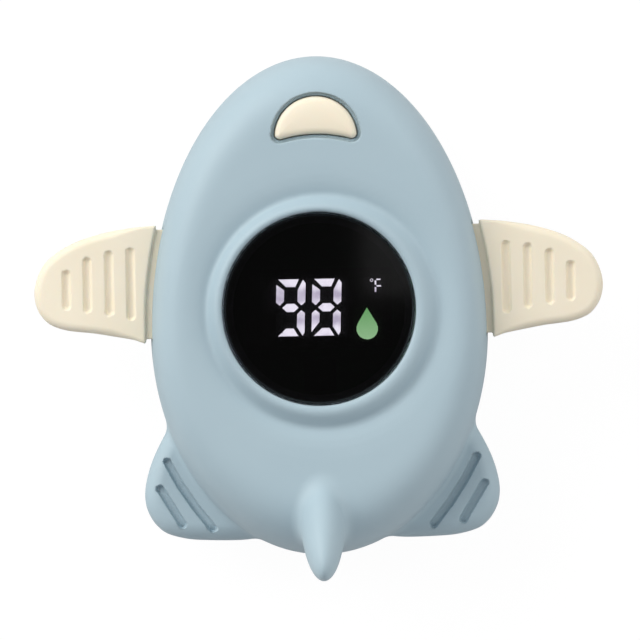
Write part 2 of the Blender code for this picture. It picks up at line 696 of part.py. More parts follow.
def upper_shell():
    """Top of the body with its ring, fins, button well and screw posts."""
    shell = hull("upper_shell", 0.0)
    limit = hull("under_skin", SKIN)
    add_fins(shell)
    combine(shell, upright_fin(), "UNION")
    combine(shell, hull("hollow", WALL), "DIFFERENCE")
    hole = turned("window_hole", [
        (0.0, TOP_Z + WALL), (LENS_RADIUS + 0.3 * RING_WIDTH, TOP_Z + WALL),
        (LENS_RADIUS + 0.3 * RING_WIDTH, LEDGE_Z - WALL), (0.0, LEDGE_Z - WALL)], ROUND_STEPS)
    combine(shell, hole, "DIFFERENCE")
    combine(shell, moat(), "DIFFERENCE")
    combine(shell, window_ring(), "UNION")
    low = PARTING_Z + GAP / 2
    posts = cylinders("upper_posts", screw_places(), UPPER_POST_RADIUS, low, TOP_Z)
    combine(shell, inner_feature(posts, limit), "UNION")
    board_posts = cylinders(
        "board_posts", board_places(), BOARD_POST_RADIUS, BOARD_TOP_Z + GAP, TOP_Z - WALL / 2 - MOAT_DEPTH)
    combine(shell, board_posts, "UNION")
    well = plate("button_well", [half_moon(BUTTON_CLEARANCE + WELL_WALL)], WELL_BOTTOM_Z, TOP_Z)
    combine(shell, inner_feature(well, limit), "UNION")
    combine(shell, plate(
        "button_slot", [half_moon(BUTTON_CLEARANCE)], RETAINER_Z, TOP_Z + WALL), "DIFFERENCE")
    combine(shell, plate(
        "flange_pocket", [half_moon(BUTTON_CLEARANCE + FLANGE_OVERLAP + GAP)], RETAINER_Z,
        BUTTON_CEILING_Z), "DIFFERENCE")
    combine(shell, cylinders(
        "post_holes", screw_places(), SHANK_RADIUS + GAP, PARTING_Z - WALL,
        SCREW_WELL_DEPTH + HOUSING_SCREW_LENGTH + WALL), "DIFFERENCE")
    combine(shell, cylinders(
        "board_post_holes", board_places(), SHANK_RADIUS + GAP, BOARD_Z,
        BOARD_Z + BOARD_SCREW_LENGTH), "DIFFERENCE")
    combine(shell, cylinders(
        "retainer_holes", retainer_places(), SHANK_RADIUS / 2 + GAP, RETAINER_Z,
        RETAINER_Z + RETAINER_SCREW_LENGTH), "DIFFERENCE")
    for side in (-1, 1):
        neck = side_strip(side, NECK_REAR_Y - GAP, NECK_FRONT_Y + GAP, -WALL, 2 * WALL)
        combine(shell, plate(
            "neck_slot", [neck], WING_Z - NECK_HALF_THICKNESS - GAP,
            WING_Z + NECK_HALF_THICKNESS + GAP), "DIFFERENCE")
        face = PARTING_Z + SIDE_FIN_HALF_THICKNESS
        combine(shell, side_grooves(side, face - GROOVE_DEPTH, face + WALL), "DIFFERENCE")
    reach = NOSE_LENGTH + TAIL_LENGTH
    combine(shell, boxes("below_parting", ((-reach, -reach, -reach), (reach, reach, low))),
            "DIFFERENCE")
    return keep(shell, "upper_shell", "soft_touch_blue")


def door_ends():
    """Middles of the two screw tabs of the battery door, clear of its seal."""
    return [(0.0, BAY_Y + DOOR_REACH), (0.0, BAY_Y - DOOR_REACH)]


def door_necks(clearance, low, high):
    """Boxes that join the door to its two tabs, or cut their seats."""
    half = DOOR_NECK_HALF_WIDTH + clearance
    spans = []
    for _, y in door_ends():
        start = BAY_Y + math.copysign(BAY_HALF_LENGTH + DOOR_LIP / 2, y)
        spans.append(((-half, min(start, y), low), (half, max(start, y), high)))
    return boxes("door_necks", *spans)


def bay_loop(offset, corner):
    """Rectangle of the battery bay moved outward by offset."""
    return rounded_rectangle(
        (0.0, BAY_Y), BAY_HALF_WIDTH + offset, BAY_HALF_LENGTH + offset, corner)


def tab_openings():
    """Places of the slots that let the solder tabs out of the bay's roof."""
    y = BAY_Y - BAY_HALF_LENGTH + GAP
    return [
        ((x - TAB_HALF_WIDTH - GAP, y - GAP, BAY_CEILING_Z - GAP),
         (x + TAB_HALF_WIDTH + GAP, y + CONTACT_THICKNESS + GAP, BAY_TOP_Z + WALL))
        for x in (-CELL_SPACING / 2, CELL_SPACING / 2)
    ]


def lower_shell():
    """Bottom of the body with the battery bay, screw wells and the sensor's collar."""
    shell = hull("lower_shell", 0.0)
    limit = hull("above_skin", SKIN)
    add_fins(shell)
    combine(shell, hull("lower_hollow", WALL), "DIFFERENCE")
    high = PARTING_Z - GAP / 2
    frame = plate("bay_frame", [bay_loop(FRAME_WIDTH, DOOR_CORNER)], 0.0, FRAME_TOP_Z)
    combine(shell, inner_feature(frame, limit), "UNION")
    walls = plate("bay_walls", [bay_loop(BAY_WALL, BAY_WALL)], WALL / 2, BAY_TOP_Z)
    combine(shell, walls, "UNION")
    posts = cylinders("lower_posts", screw_places(), LOWER_POST_RADIUS, 0.0, high)
    combine(shell, inner_feature(posts, limit), "UNION")
    bosses = cylinders("door_bosses", door_ends(), DOOR_BOSS_RADIUS, 0.0, DOOR_BOSS_TOP_Z)
    combine(shell, inner_feature(bosses, limit), "UNION")
    collar = cylinders(
        "probe_collar", [(0.0, PROBE_Y)], PROBE_RADIUS + GAP + PROBE_COLLAR_WALL, 0.0,
        PROBE_COLLAR_HEIGHT)
    combine(shell, inner_feature(collar, limit), "UNION")
    combine(shell, plate("bay_room", [bay_loop(0.0, CELL_CLEARANCE)], -WALL, BAY_CEILING_Z),
            "DIFFERENCE")
    combine(shell, plate(
        "door_seat", [bay_loop(DOOR_LIP + GAP, DOOR_CORNER + GAP)], -WALL,
        DOOR_THICKNESS + GAP), "DIFFERENCE")
    seal_in = DOOR_SEAL_INSET - GAP
    seal_out = DOOR_SEAL_INSET + DOOR_SEAL_WIDTH + GAP
    combine(shell, plate(
        "door_seal_groove", [bay_loop(seal_out, seal_out), bay_loop(seal_in, seal_in)], 0.0,
        DOOR_THICKNESS + DOOR_SEAL_HEIGHT + 2 * GAP), "DIFFERENCE")
    combine(shell, cylinders(
        "door_tab_seats", door_ends(), DOOR_TAB_RADIUS + GAP, -WALL, DOOR_TAB_THICKNESS + GAP),
        "DIFFERENCE")
    combine(shell, door_necks(GAP, -WALL, DOOR_THICKNESS + GAP), "DIFFERENCE")
    combine(shell, cylinders(
        "door_screw_holes", door_ends(), SHANK_RADIUS + GAP, 0.0, DOOR_BOSS_TOP_Z - WALL),
        "DIFFERENCE")
    combine(shell, cylinders(
        "screw_wells", screw_places(), SCREW_HEAD_RADIUS + GAP, -WALL, SCREW_WELL_DEPTH + GAP),
        "DIFFERENCE")
    combine(shell, cylinders(
        "screw_holes", screw_places(), SHANK_RADIUS + GAP, 0.0, PARTING_Z + WALL), "DIFFERENCE")
    combine(shell, cylinders(
        "probe_hole", [(0.0, PROBE_Y)], PROBE_RADIUS + GAP, -WALL,
        PROBE_COLLAR_HEIGHT + WALL), "DIFFERENCE")
    combine(shell, cylinders(
        "probe_seat", [(0.0, PROBE_Y)], PROBE_FLANGE_RADIUS + GAP, -WALL,
        PROBE_SINK + PROBE_FLANGE_THICKNESS + GAP), "DIFFERENCE")
    combine(shell, boxes("tab_slots", *tab_openings()), "DIFFERENCE")
    for side in (-1, 1):
        face = PARTING_Z - SIDE_FIN_HALF_THICKNESS
        combine(shell, side_grooves(side, face - WALL, face + GROOVE_DEPTH), "DIFFERENCE")
    reach = NOSE_LENGTH + TAIL_LENGTH
    combine(shell, boxes("above_parting", ((-reach, -reach, high), (reach, reach, reach))),
            "DIFFERENCE")
    return keep(shell, "lower_shell", "soft_touch_blue")


def shell_seal():
    """Gasket that lines the joint between the shells."""
    inset = WALL + SEAL_INSET
    loops = [egg_outline(inset), egg_outline(inset + SEAL_THICKNESS)]
    seal = plate("shell_seal", loops, PARTING_Z - SEAL_BELOW, PARTING_Z + SEAL_ABOVE)
    return keep(seal, "shell_seal", "grey_silicone")


def wing_outline():
    """Free edge of the right wing, from the rear of its root round the tip to the front."""
    front = WING_FRONT_Y - WING_TIP_Y
    rear = WING_TIP_Y - WING_REAR_Y
    shares = (
        (0.25, -0.83), (0.50, -0.72), (0.72, -0.68), (0.86, -0.60), (0.95, -0.40), (1.0, -0.02),
        (0.985, 0.22), (0.94, 0.42), (0.85, 0.58), (0.70, 0.74), (0.52, 0.85), (0.32, 0.925),
        (0.12, 0.975),
    )
    return [
        (BODY_HALF_WIDTH + WING_SPAN * out, WING_TIP_Y + share * (front if share > 0 else rear))
        for out, share in shares
    ]


def wing_grooves(side, low, high):
    """Cutters of the four grooves on one face of a wing."""
    loops = []
    for i in range(WING_GROOVE_COUNT):
        x = WING_GROOVE_X + i * WING_GROOVE_PITCH
        share = (x - BODY_HALF_WIDTH) / WING_SPAN
        bow = math.sqrt(max(0.0, 1.0 - share ** 4))
        front = WING_TIP_Y + (WING_FRONT_Y - WING_TIP_Y) * bow - WING_GROOVE_MARGIN
        rear = WING_TIP_Y - 0.8 * (WING_TIP_Y - WING_REAR_Y) * bow + WING_GROOVE_MARGIN
        loops.append(slot_outline((side * x, rear), (side * x, front), WING_GROOVE_WIDTH))
    return plate("wing_grooves", loops, low, high)


def thinned(blade):
    """The blade made thinner towards its tip, in triangles so that each face stays flat."""
    shape = bmesh.new()
    shape.from_mesh(blade.data)
    bmesh.ops.triangulate(shape, faces=shape.faces)
    for vertex in shape.verts:
        share = (abs(vertex.co.x) - BODY_HALF_WIDTH) / WING_SPAN
        thin = 1.0 - (1.0 - WING_TIP_SHARE) * max(0.0, share) ** 2
        vertex.co.z = WING_Z + (vertex.co.z - WING_Z) * thin
    shape.to_mesh(blade.data)
    shape.free()
    return blade


def wing(side, name):
    """Soft wing: a blade that thins to its tip, a neck through the shell and a head inside."""
    root = [
        (egg_side(y, -WING_ROOT_STANDOFF), y)
        for y in (WING_FRONT_Y, 0.6 * WING_FRONT_Y, WING_TIP_Y, WING_REAR_Y)
    ]
    outline = [(side * x, y) for x, y in root + wing_outline()]
    low = WING_Z - WING_HALF_THICKNESS
    high = WING_Z + WING_HALF_THICKNESS
    blade = plate(name, [outline], low, high)
    round_edges(blade, WING_ROUNDING, 3)
    blade = thinned(baked(blade))
    thinnest = WING_HALF_THICKNESS * WING_TIP_SHARE
    combine(blade, wing_grooves(side, WING_Z + thinnest, high + WALL), "DIFFERENCE")
    combine(blade, wing_grooves(side, low - WALL, WING_Z - thinnest), "DIFFERENCE")
    inner = WALL + HEAD_SEAT
    neck = plate("neck", [side_strip(
        side, NECK_REAR_Y, NECK_FRONT_Y, -WING_ROOT_STANDOFF - WALL, inner + HEAD_THICKNESS / 2)],
        WING_Z - NECK_HALF_THICKNESS, WING_Z + NECK_HALF_THICKNESS)
    head = plate("head", [side_strip(
        side, NECK_REAR_Y - HEAD_LIP, NECK_FRONT_Y + HEAD_LIP, inner, inner + HEAD_THICKNESS)],
        WING_Z - NECK_HALF_THICKNESS - HEAD_LIP, WING_Z + NECK_HALF_THICKNESS + HEAD_LIP)
    combine(blade, neck, "UNION")
    combine(blade, head, "UNION")
    return keep(blade, name, "cream_silicone")


def mode_button():
    """Half-moon cap with the flange that keeps it in and the stem that works the switch."""
    cap = plate("mode_button", [half_moon(0.0)], FLANGE_BOTTOM_Z, TOP_Z + BUTTON_PROUD)
    round_edges(cap, BUTTON_EDGE, 2)
    flange = plate("flange", [half_moon(BUTTON_CLEARANCE + FLANGE_OVERLAP)], FLANGE_BOTTOM_Z,
                   FLANGE_BOTTOM_Z + FLANGE_THICKNESS)
    stem = cylinders("stem", [(0.0, SWITCH_Y)], STEM_RADIUS, PLUNGER_TOP_Z + GAP,
                     FLANGE_BOTTOM_Z + FLANGE_THICKNESS / 2)
    combine(cap, flange, "UNION")
    combine(cap, stem, "UNION")
    button = keep(cap, "mode_button", "cream_silicone")
    place = Vector((0.0, SWITCH_Y, FLANGE_BOTTOM_Z))
    button.data.transform(Matrix.Translation(-place))
    button.location = place
    return button


def ring(name, middle, inner, outer, low, high, finish):
    """Plain upright ring."""
    solid = turned(name, [(outer, high), (outer, low), (inner, low), (inner, high)],
                   2 * SMALL_STEPS if outer > BUTTON_RADIUS else SMALL_STEPS)
    solid.location = (*middle, 0.0)
    return keep(solid, name, finish)


def button_retainer():
    """Plate under the button well that carries the seal round the stem."""
    retainer = plate("button_retainer", [half_moon(BUTTON_CLEARANCE + WELL_WALL - GAP)],
                     RETAINER_Z, RETAINER_TOP_Z)
    middle = [(0.0, SWITCH_Y)]
    combine(retainer, cylinders(
        "seal_recess", middle, SEAL_RADIUS + GAP, BUTTON_SEAL_Z - GAP, WELL_BOTTOM_Z + WALL),
        "DIFFERENCE")
    combine(retainer, cylinders(
        "stem_hole", middle, STEM_RADIUS + GAP, RETAINER_Z - WALL, WELL_BOTTOM_Z), "DIFFERENCE")
    combine(retainer, cylinders(
        "retainer_screw_holes", retainer_places(), SHANK_RADIUS / 2 + GAP, RETAINER_Z - WALL,
        WELL_BOTTOM_Z + WALL), "DIFFERENCE")
    return keep(retainer, "button_retainer", "black_plastic")


def tact_switch():
    """Switch body with the well that its plunger moves in, and the plunger."""
    half = SWITCH_SIZE / 2
    body = boxes("tact_switch", (
        (-half, SWITCH_Y - half, SWITCH_Z), (half, SWITCH_Y + half, SWITCH_Z + SWITCH_HEIGHT)))
    combine(body, cylinders(
        "plunger_well", [(0.0, SWITCH_Y)], PLUNGER_RADIUS + GAP,
        PLUNGER_Z - BUTTON_TRAVEL - GAP, SWITCH_Z + SWITCH_HEIGHT + WALL), "DIFFERENCE")
    keep(body, "tact_switch", "black_plastic")
    plunger = cylinders("switch_plunger", [(0.0, 0.0)], PLUNGER_RADIUS, 0.0, PLUNGER_LENGTH)
    plunger.location = (0.0, SWITCH_Y, PLUNGER_Z)
    keep(plunger, "switch_plunger", "cream_silicone")


def window():
    """Round smoked window with a chamfered edge, and the gasket under it."""
    top = LENS_BOTTOM_Z + LENS_THICKNESS
    lens = turned("display_lens", [
        (0.0, top), (LENS_RADIUS - LENS_CHAMFER, top), (LENS_RADIUS, top - LENS_CHAMFER),
        (LENS_RADIUS, LENS_BOTTOM_Z), (0.0, LENS_BOTTOM_Z)], ROUND_STEPS)
    keep(lens, "display_lens", "smoked_window")
    ring("lens_gasket", (0.0, 0.0), LENS_RADIUS + GAP - LEDGE_WIDTH, LENS_RADIUS - GAP,
         LEDGE_Z + GAP, LEDGE_Z + GAP + LENS_GASKET, "grey_silicone")


def digit_shapes(middle):
    """Outlines of the seven bars of one leaning digit."""
    x, y = middle
    return [
        [(x + (across - 0.5) * DIGIT_WIDTH + DIGIT_LEAN * (up - 0.5) * DIGIT_HEIGHT,
          y + (up - 0.5) * DIGIT_HEIGHT) for across, up in corners]
        for corners in SEGMENTS
    ]


def drop_outline():
    """Outline of the drop sign: a round bottom drawn up to a point."""
    middle = (DROP_X, DROP_TOP_Y - DROP_HEIGHT + DROP_RADIUS)
    lift = DROP_HEIGHT - DROP_RADIUS
    open_angle = math.asin(DROP_RADIUS / lift)
    return [(DROP_X, DROP_TOP_Y)] + arc(
        middle, DROP_RADIUS, math.pi - open_angle, 2 * math.pi + open_angle, 12)


def unit_shapes():
    """Outlines of the bars of the unit letter F and of the ring of its degree sign."""
    bars = [
        [(UNIT_X + across * UNIT_WIDTH, UNIT_Y + up * UNIT_HEIGHT)
         for across, up in ((left, low), (right, low), (right, high), (left, high))]
        for left, low, right, high in UNIT_BARS
    ]
    last = 2 * math.pi * (1.0 - 1.0 / SMALL_STEPS)
    return bars + [
        arc((DEGREE_X, DEGREE_Y), radius, 0.0, last, SMALL_STEPS - 1)
        for radius in (DEGREE_RADIUS, DEGREE_RADIUS - DEGREE_STROKE)
    ]


def module_windows():
    """Openings of the mask: one for the digits, one for the drop and the unit."""
    divide = DROP_X - DROP_RADIUS - 2 * GAP
    side = MODULE_HALF_WIDTH - MODULE_WALL - GAP - MASK_BORDER
    reach = DIGIT_HEIGHT / 2 + GAP
    low = DROP_TOP_Y - DROP_HEIGHT - GAP
    high = UNIT_Y + UNIT_HEIGHT + GAP
    digits = ((-side + divide - MODULE_WALL) / 2, DIGIT_Y)
    signs = ((side + divide) / 2, (low + high) / 2)
    return [
        rounded_rectangle(digits, (side + divide - MODULE_WALL) / 2, reach, GAP),
        rounded_rectangle(signs, (side - divide) / 2, (high - low) / 2, GAP)]


def display_module():
    """Black housing on the board, the plate with the raised lit bars and the mask on it."""
    inner_x = MODULE_HALF_WIDTH - MODULE_WALL
    inner_y = MODULE_HALF_LENGTH - MODULE_WALL
    mask_top = MODULE_TOP_Z - GAP
    mask_z = mask_top - MASK_THICKNESS
    plate_top = mask_z - GAP
    plate_z = plate_top - PLATE_THICKNESS
    housing = boxes("display_housing", (
        (-MODULE_HALF_WIDTH, -MODULE_HALF_LENGTH, BOARD_TOP_Z + GAP),
        (MODULE_HALF_WIDTH, MODULE_HALF_LENGTH, MODULE_TOP_Z)))
    combine(housing, boxes("module_pocket", (
        (-inner_x, -inner_y, plate_z - GAP), (inner_x, inner_y, MODULE_TOP_Z + WALL))),
        "DIFFERENCE")
    keep(housing, "display_housing", "black_plastic")
    half = (inner_x - GAP, inner_y - GAP)
    sheet = boxes("segment_plate", ((-half[0], -half[1], plate_z), (*half, plate_top)))
    bars = [drop_outline(), *unit_shapes()]
    for i in range(2):
        bars += digit_shapes((DIGIT_FIRST_X + i * DIGIT_PITCH, DIGIT_Y))
    combine(sheet, plate("bars", bars, plate_top - PLATE_THICKNESS / 2, mask_top), "UNION")
    keep(sheet, "segment_plate", "lit_segments")
    mask = plate("display_mask", [rounded_rectangle((0.0, 0.0), *half, GAP), *module_windows()],
                 mask_z, mask_top)
    keep(mask, "display_mask", "black_plastic")


def main_board():
    """Round circuit board with a tongue to the switch, and its controller chip."""
    lift = math.sqrt(BOARD_RADIUS ** 2 - TONGUE_HALF_WIDTH ** 2)
    start = math.atan2(lift, -TONGUE_HALF_WIDTH)
    end = 2 * math.pi + math.atan2(lift, TONGUE_HALF_WIDTH)
    tongue = SWITCH_Y + SWITCH_SIZE / 2 + 4 * GAP
    outline = arc((0.0, 0.0), BOARD_RADIUS, start, end, 32)
    outline += [(TONGUE_HALF_WIDTH, tongue), (-TONGUE_HALF_WIDTH, tongue)]
    board = plate("main_board", [outline], BOARD_Z, BOARD_TOP_Z)
    combine(board, cylinders(
        "board_holes", board_places(), SHANK_RADIUS + GAP, BOARD_Z - WALL, BOARD_TOP_Z + WALL),
        "DIFFERENCE")
    keep(board, "main_board", "circuit_board")
    half = CHIP_SIZE / 2
    chip = boxes("controller_chip", (
        (-half, CHIP_Y - half, BOARD_TOP_Z + GAP), (half, CHIP_Y + half, BOARD_TOP_Z + GAP + CHIP_HEIGHT)))
    keep(chip, "controller_chip", "black_plastic")


def cross_outline():
    """Outline of a screw's cross recess, turned a little from the screw's own facets."""
    arm = math.hypot(RECESS_LENGTH / 2, RECESS_WIDTH / 2)
    spread = math.atan2(RECESS_WIDTH, RECESS_LENGTH)
    notch = RECESS_WIDTH / math.sqrt(2.0)
    points = []
    for quarter in range(4):
        middle = math.pi / 10 + quarter * math.pi / 2
        for radius, angle in ((arm, middle - spread), (arm, middle + spread),
                              (notch, middle + math.pi / 4)):
            points.append((radius * math.cos(angle), radius * math.sin(angle)))
    return points


def screw_mesh(name, length, scale):
    """Screw standing on its head, with a cross recess: head, shank and pointed end."""
    head = SCREW_HEAD_RADIUS * scale
    shank = SHANK_RADIUS * scale
    thick = SCREW_HEAD_HEIGHT * scale
    body = turned(name, [
        (0.0, length), (shank * 0.4, length), (shank, length - 1.5 * shank), (shank, thick),
        (head, thick), (head, thick * 0.35), (head * 0.8, 0.0), (0.0, 0.0)], SMALL_STEPS - 4)
    depth = RECESS_DEPTH * scale
    recess = plate("recess", [[(x * scale, y * scale) for x, y in cross_outline()]], -depth, depth)
    combine(body, recess, "DIFFERENCE")
    return baked(body).data


def screws(name, places, base, length, scale):
    """Screws of one size at each (x, y) place, with the underside of the head at base."""
    mesh = screw_mesh(name, length, scale)
    mesh.materials.clear()
    mesh.materials.append(finish_material("steel"))
    mesh.shade_smooth()
    mesh.set_sharp_from_angle(angle=math.radians(32.0))
    for number, (x, y) in enumerate(places, start=1):
        screw = bpy.data.objects.new(f"{name}_{number}", mesh)
        screw.location = (x, y, base)
        PARTS.objects.link(screw)


def all_screws():
    """Housing, door, board and retainer screws, all put in from below."""
    screws("housing_screw", screw_places(), SCREW_WELL_DEPTH - SCREW_HEAD_HEIGHT,
           HOUSING_SCREW_LENGTH, 1.0)
    screws("door_screw", door_ends(), GAP, DOOR_SCREW_LENGTH, 0.9)
    screws("board_screw", board_places(), BOARD_Z - GAP - SCREW_HEAD_HEIGHT * 0.9,
           BOARD_SCREW_LENGTH, 0.9)
    screws("retainer_screw", retainer_places(), RETAINER_Z - GAP - SCREW_HEAD_HEIGHT / 2,
           RETAINER_SCREW_LENGTH, 0.5)


def battery(number, side, front_up):
    """Cell lying along the bay with its nub to the nose or to the tail."""
    tail = CELL_LENGTH - NUB_HEIGHT
    cell = turned(f"battery_{number}", [
        (0.0, CELL_LENGTH), (NUB_RADIUS, CELL_LENGTH), (NUB_RADIUS, tail),
        (CELL_RADIUS - CELL_EDGE, tail), (CELL_RADIUS, tail - CELL_EDGE),
        (CELL_RADIUS, CELL_EDGE), (CELL_RADIUS - CELL_EDGE, 0.0), (0.0, 0.0)], 24)
    towards = 1 if front_up else -1
    nub = BAY_Y + towards * (BAY_HALF_LENGTH - CONTACT_THICKNESS - 2 * GAP)
    cell.data.transform(Matrix.Rotation(-towards * math.pi / 2, 4, "X"))
    cell.location = (side * CELL_SPACING / 2, nub - towards * CELL_LENGTH, CELL_Z)
    keep(cell, f"battery_{number}", "cell_label")


def battery_spring(number, side, towards):
    """Cone spring between a cell's flat end and the contact at one end of the bay."""
    wall = BAY_HALF_LENGTH - CONTACT_THICKNESS - 2 * GAP
    count = round(SPRING_TURNS * SPRING_POINTS_PER_TURN)
    rise = SPRING_LENGTH - 2 * SPRING_WIRE_RADIUS - GAP
    points = []
    for i in range(count + 1):
        share = i / count
        angle = 2 * math.pi * SPRING_TURNS * share
        radius = SPRING_BASE_RADIUS + (SPRING_TOP_RADIUS - SPRING_BASE_RADIUS) * share
        along = wall - SPRING_WIRE_RADIUS - rise * share
        points.append((
            side * CELL_SPACING / 2 + radius * math.cos(angle), BAY_Y + towards * along,
            CELL_Z + radius * math.sin(angle)))
    wire(f"battery_spring_{number}", points, SPRING_WIRE_RADIUS, "steel")


def contacts():
    """Bridge at the nose end of the bay and two contacts with solder tabs at its tail end."""
    low = DOOR_THICKNESS + 2 * GAP
    end = BAY_HALF_LENGTH - GAP
    reach = CELL_SPACING / 2 + CONTACT_HALF_WIDTH
    bridge = boxes("contact_bridge", (
        (-reach, BAY_Y + end - CONTACT_THICKNESS, low), (reach, BAY_Y + end, low + CONTACT_HEIGHT)))
    keep(bridge, "contact_bridge", "steel")
    for name, x in (("contact_negative", -CELL_SPACING / 2), ("contact_positive", CELL_SPACING / 2)):
        tab_top = BAY_TOP_Z + TAB_RISE
        body = (x - CONTACT_HALF_WIDTH, x + CONTACT_HALF_WIDTH)
        tab = (x - TAB_HALF_WIDTH, x + TAB_HALF_WIDTH)
        outline = [
            (body[0], low), (body[1], low), (body[1], low + CONTACT_HEIGHT),
            (tab[1], low + CONTACT_HEIGHT), (tab[1], tab_top), (tab[0], tab_top),
            (tab[0], low + CONTACT_HEIGHT), (body[0], low + CONTACT_HEIGHT)]
        sheet = plate(name, [outline], 0.0, CONTACT_THICKNESS)
        sheet.data.transform(Matrix.Rotation(math.pi / 2, 4, "X"))
        sheet.location.y = BAY_Y - end + CONTACT_THICKNESS
        keep(sheet, name, "steel")


def battery_door():
    """Door with a screw tab at each end, and the seal in the groove above it."""
    door = plate("battery_door", [bay_loop(DOOR_LIP, DOOR_CORNER)], 0.0, DOOR_THICKNESS)
    combine(door, cylinders("door_tabs", door_ends(), DOOR_TAB_RADIUS, 0.0, DOOR_TAB_THICKNESS),
            "UNION")
    combine(door, door_necks(0.0, 0.0, DOOR_THICKNESS), "UNION")
    combine(door, cylinders(
        "door_head_wells", door_ends(), SCREW_HEAD_RADIUS + GAP, -WALL,
        2 * GAP + SCREW_HEAD_HEIGHT), "DIFFERENCE")
    combine(door, cylinders(
        "door_shank_holes", door_ends(), SHANK_RADIUS + GAP, 0.0, DOOR_TAB_THICKNESS + WALL),
        "DIFFERENCE")
    keep(door, "battery_door", "soft_touch_blue")
    inner = DOOR_SEAL_INSET
    outer = DOOR_SEAL_INSET + DOOR_SEAL_WIDTH
    seal = plate("door_seal", [bay_loop(outer, outer), bay_loop(inner, inner)],
                 DOOR_THICKNESS + GAP, DOOR_THICKNESS + GAP + DOOR_SEAL_HEIGHT)
    keep(seal, "door_seal", "grey_silicone")


def probe():
    """Steel cap of the water sensor, hollow from inside, and the bead in it."""
    inner = PROBE_RADIUS - PROBE_WALL
    step = PROBE_SINK + PROBE_FLANGE_THICKNESS
    cap = turned("probe_tip", [
        (0.0, step), (inner, step), (inner, PROBE_HEIGHT), (PROBE_RADIUS, PROBE_HEIGHT),
        (PROBE_RADIUS, step), (PROBE_FLANGE_RADIUS, step), (PROBE_FLANGE_RADIUS, PROBE_SINK),
        (0.0, PROBE_SINK)], SMALL_STEPS)
    cap.location = (0.0, PROBE_Y, 0.0)
    keep(cap, "probe_tip", "steel")
    shape = bmesh.new()
    bead_z = step + GAP + BEAD_RADIUS
    bmesh.ops.create_uvsphere(
        shape, u_segments=12, v_segments=8, radius=BEAD_RADIUS,
        matrix=Matrix.Translation((0.0, PROBE_Y, bead_z)))
    keep(mesh_object("thermistor", shape), "thermistor", "black_plastic")
    return bead_z + BEAD_RADIUS


def lead_points(start, end, sag):
    """Points of a lead that leaves upward, bends over and rises to its end."""
    points = []
    steps = 12
    for i in range(steps + 1):
        t = i / steps
        ease = t * t * (3 - 2 * t)
        points.append((
            start[0] + (end[0] - start[0]) * ease,
            start[1] + (end[1] - start[1]) * ease + sag * math.sin(math.pi * t),
            start[2] + (end[2] - start[2]) * t))
    return points


def leads(bead_top):
    """Leads from the battery contacts and from the sensor up to the board."""
    tab_y = BAY_Y - BAY_HALF_LENGTH + GAP + CONTACT_THICKNESS / 2
    tab_top = BAY_TOP_Z + TAB_RISE + GAP
    under = BOARD_Z - GAP
    for name, x, finish in (
            ("battery_lead_negative", -CELL_SPACING / 2, "black_insulation"),
            ("battery_lead_positive", CELL_SPACING / 2, "red_insulation")):
        wire(name, lead_points((x, tab_y, tab_top), (x, tab_y + LEAD_REACH, under), 0.0), LEAD_RADIUS, finish)
    wire("probe_lead", lead_points(
        (0.0, PROBE_Y, bead_top + GAP), (TONGUE_HALF_WIDTH / 2, SWITCH_Y, under), 0.0),
        LEAD_RADIUS, "black_insulation")


def build():
    """All the parts."""
    upper_shell()
    lower_shell()
    shell_seal()
    wing(-1, "wing_left")
    wing(1, "wing_right")
    window()
    display_module()
    mode_button()
    ring("button_seal", (0.0, SWITCH_Y), STEM_RADIUS + GAP, SEAL_RADIUS, BUTTON_SEAL_Z,
         BUTTON_SEAL_Z + SEAL_HEIGHT, "grey_silicone")
    button_retainer()
    tact_switch()
    main_board()
    battery(1, -1, True)
    battery(2, 1, False)
    battery_spring(1, -1, -1)
    battery_spring(2, 1, 1)
    contacts()
    battery_door()
    leads(probe())
    all_screws()


build()
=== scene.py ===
"""Looks of the baby bath thermometer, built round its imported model."""

import math

import bpy
import numpy as np
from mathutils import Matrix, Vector


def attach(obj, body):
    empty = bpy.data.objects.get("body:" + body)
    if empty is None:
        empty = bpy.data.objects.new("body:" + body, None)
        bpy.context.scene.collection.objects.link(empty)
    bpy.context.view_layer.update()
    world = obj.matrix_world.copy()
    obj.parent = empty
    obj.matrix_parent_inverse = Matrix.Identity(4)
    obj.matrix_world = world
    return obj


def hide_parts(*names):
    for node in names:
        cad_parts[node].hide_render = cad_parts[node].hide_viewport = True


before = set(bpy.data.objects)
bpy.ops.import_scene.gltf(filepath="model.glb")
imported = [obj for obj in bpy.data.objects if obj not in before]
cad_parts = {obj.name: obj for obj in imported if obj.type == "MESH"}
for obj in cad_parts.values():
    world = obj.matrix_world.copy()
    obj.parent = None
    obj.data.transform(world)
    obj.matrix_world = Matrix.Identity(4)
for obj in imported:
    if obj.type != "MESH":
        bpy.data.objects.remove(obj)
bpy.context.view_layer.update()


# Body shells: two halves of ABS with a matt soft-touch coat, moulded with the ring round the
# window and the tail fins in one piece and screwed together from below. Their surface is
# where a distance field is 0, because fins, ring and body run into each other without edges.
MM = 0.001
BODY_HALF_WIDTH, NOSE_LENGTH, TAIL_LENGTH, WIDEST_Y = 32.0, 52.0, 42.6, -4.0
PARTING_Z, TOP_Z, WALL = 15.5, 34.0, 2.0
TOP_SHOULDERS, BASE_SHOULDERS = (7.5, 13.0, 13.6), (9.0, 11.0, 10.0)
SHOULDER_POWER = 3.0
SEAM, GAP = 0.12, 0.3
BORE_RADIUS, LEDGE_RADIUS, LEDGE_TOP_Z, LEDGE_BASE_Z = 18.3, 16.3, 31.2, 29.4
RING_PROFILE = (
    (0.0, 0.3), (17.8, 0.5), (18.4, 0.95), (19.0, 1.18), (19.6, 1.12), (20.2, 0.75), (21.0, -0.1),
    (21.6, -0.66), (22.1, -0.85), (22.6, -0.8), (23.4, -0.52), (24.4, -0.28), (25.8, -0.1),
    (28.0, 0.0), (80.0, 0.0))
RING_SHIFT, SHIFT_START, SHIFT_RUN = (0.6, -0.5), 18.5, 3.0
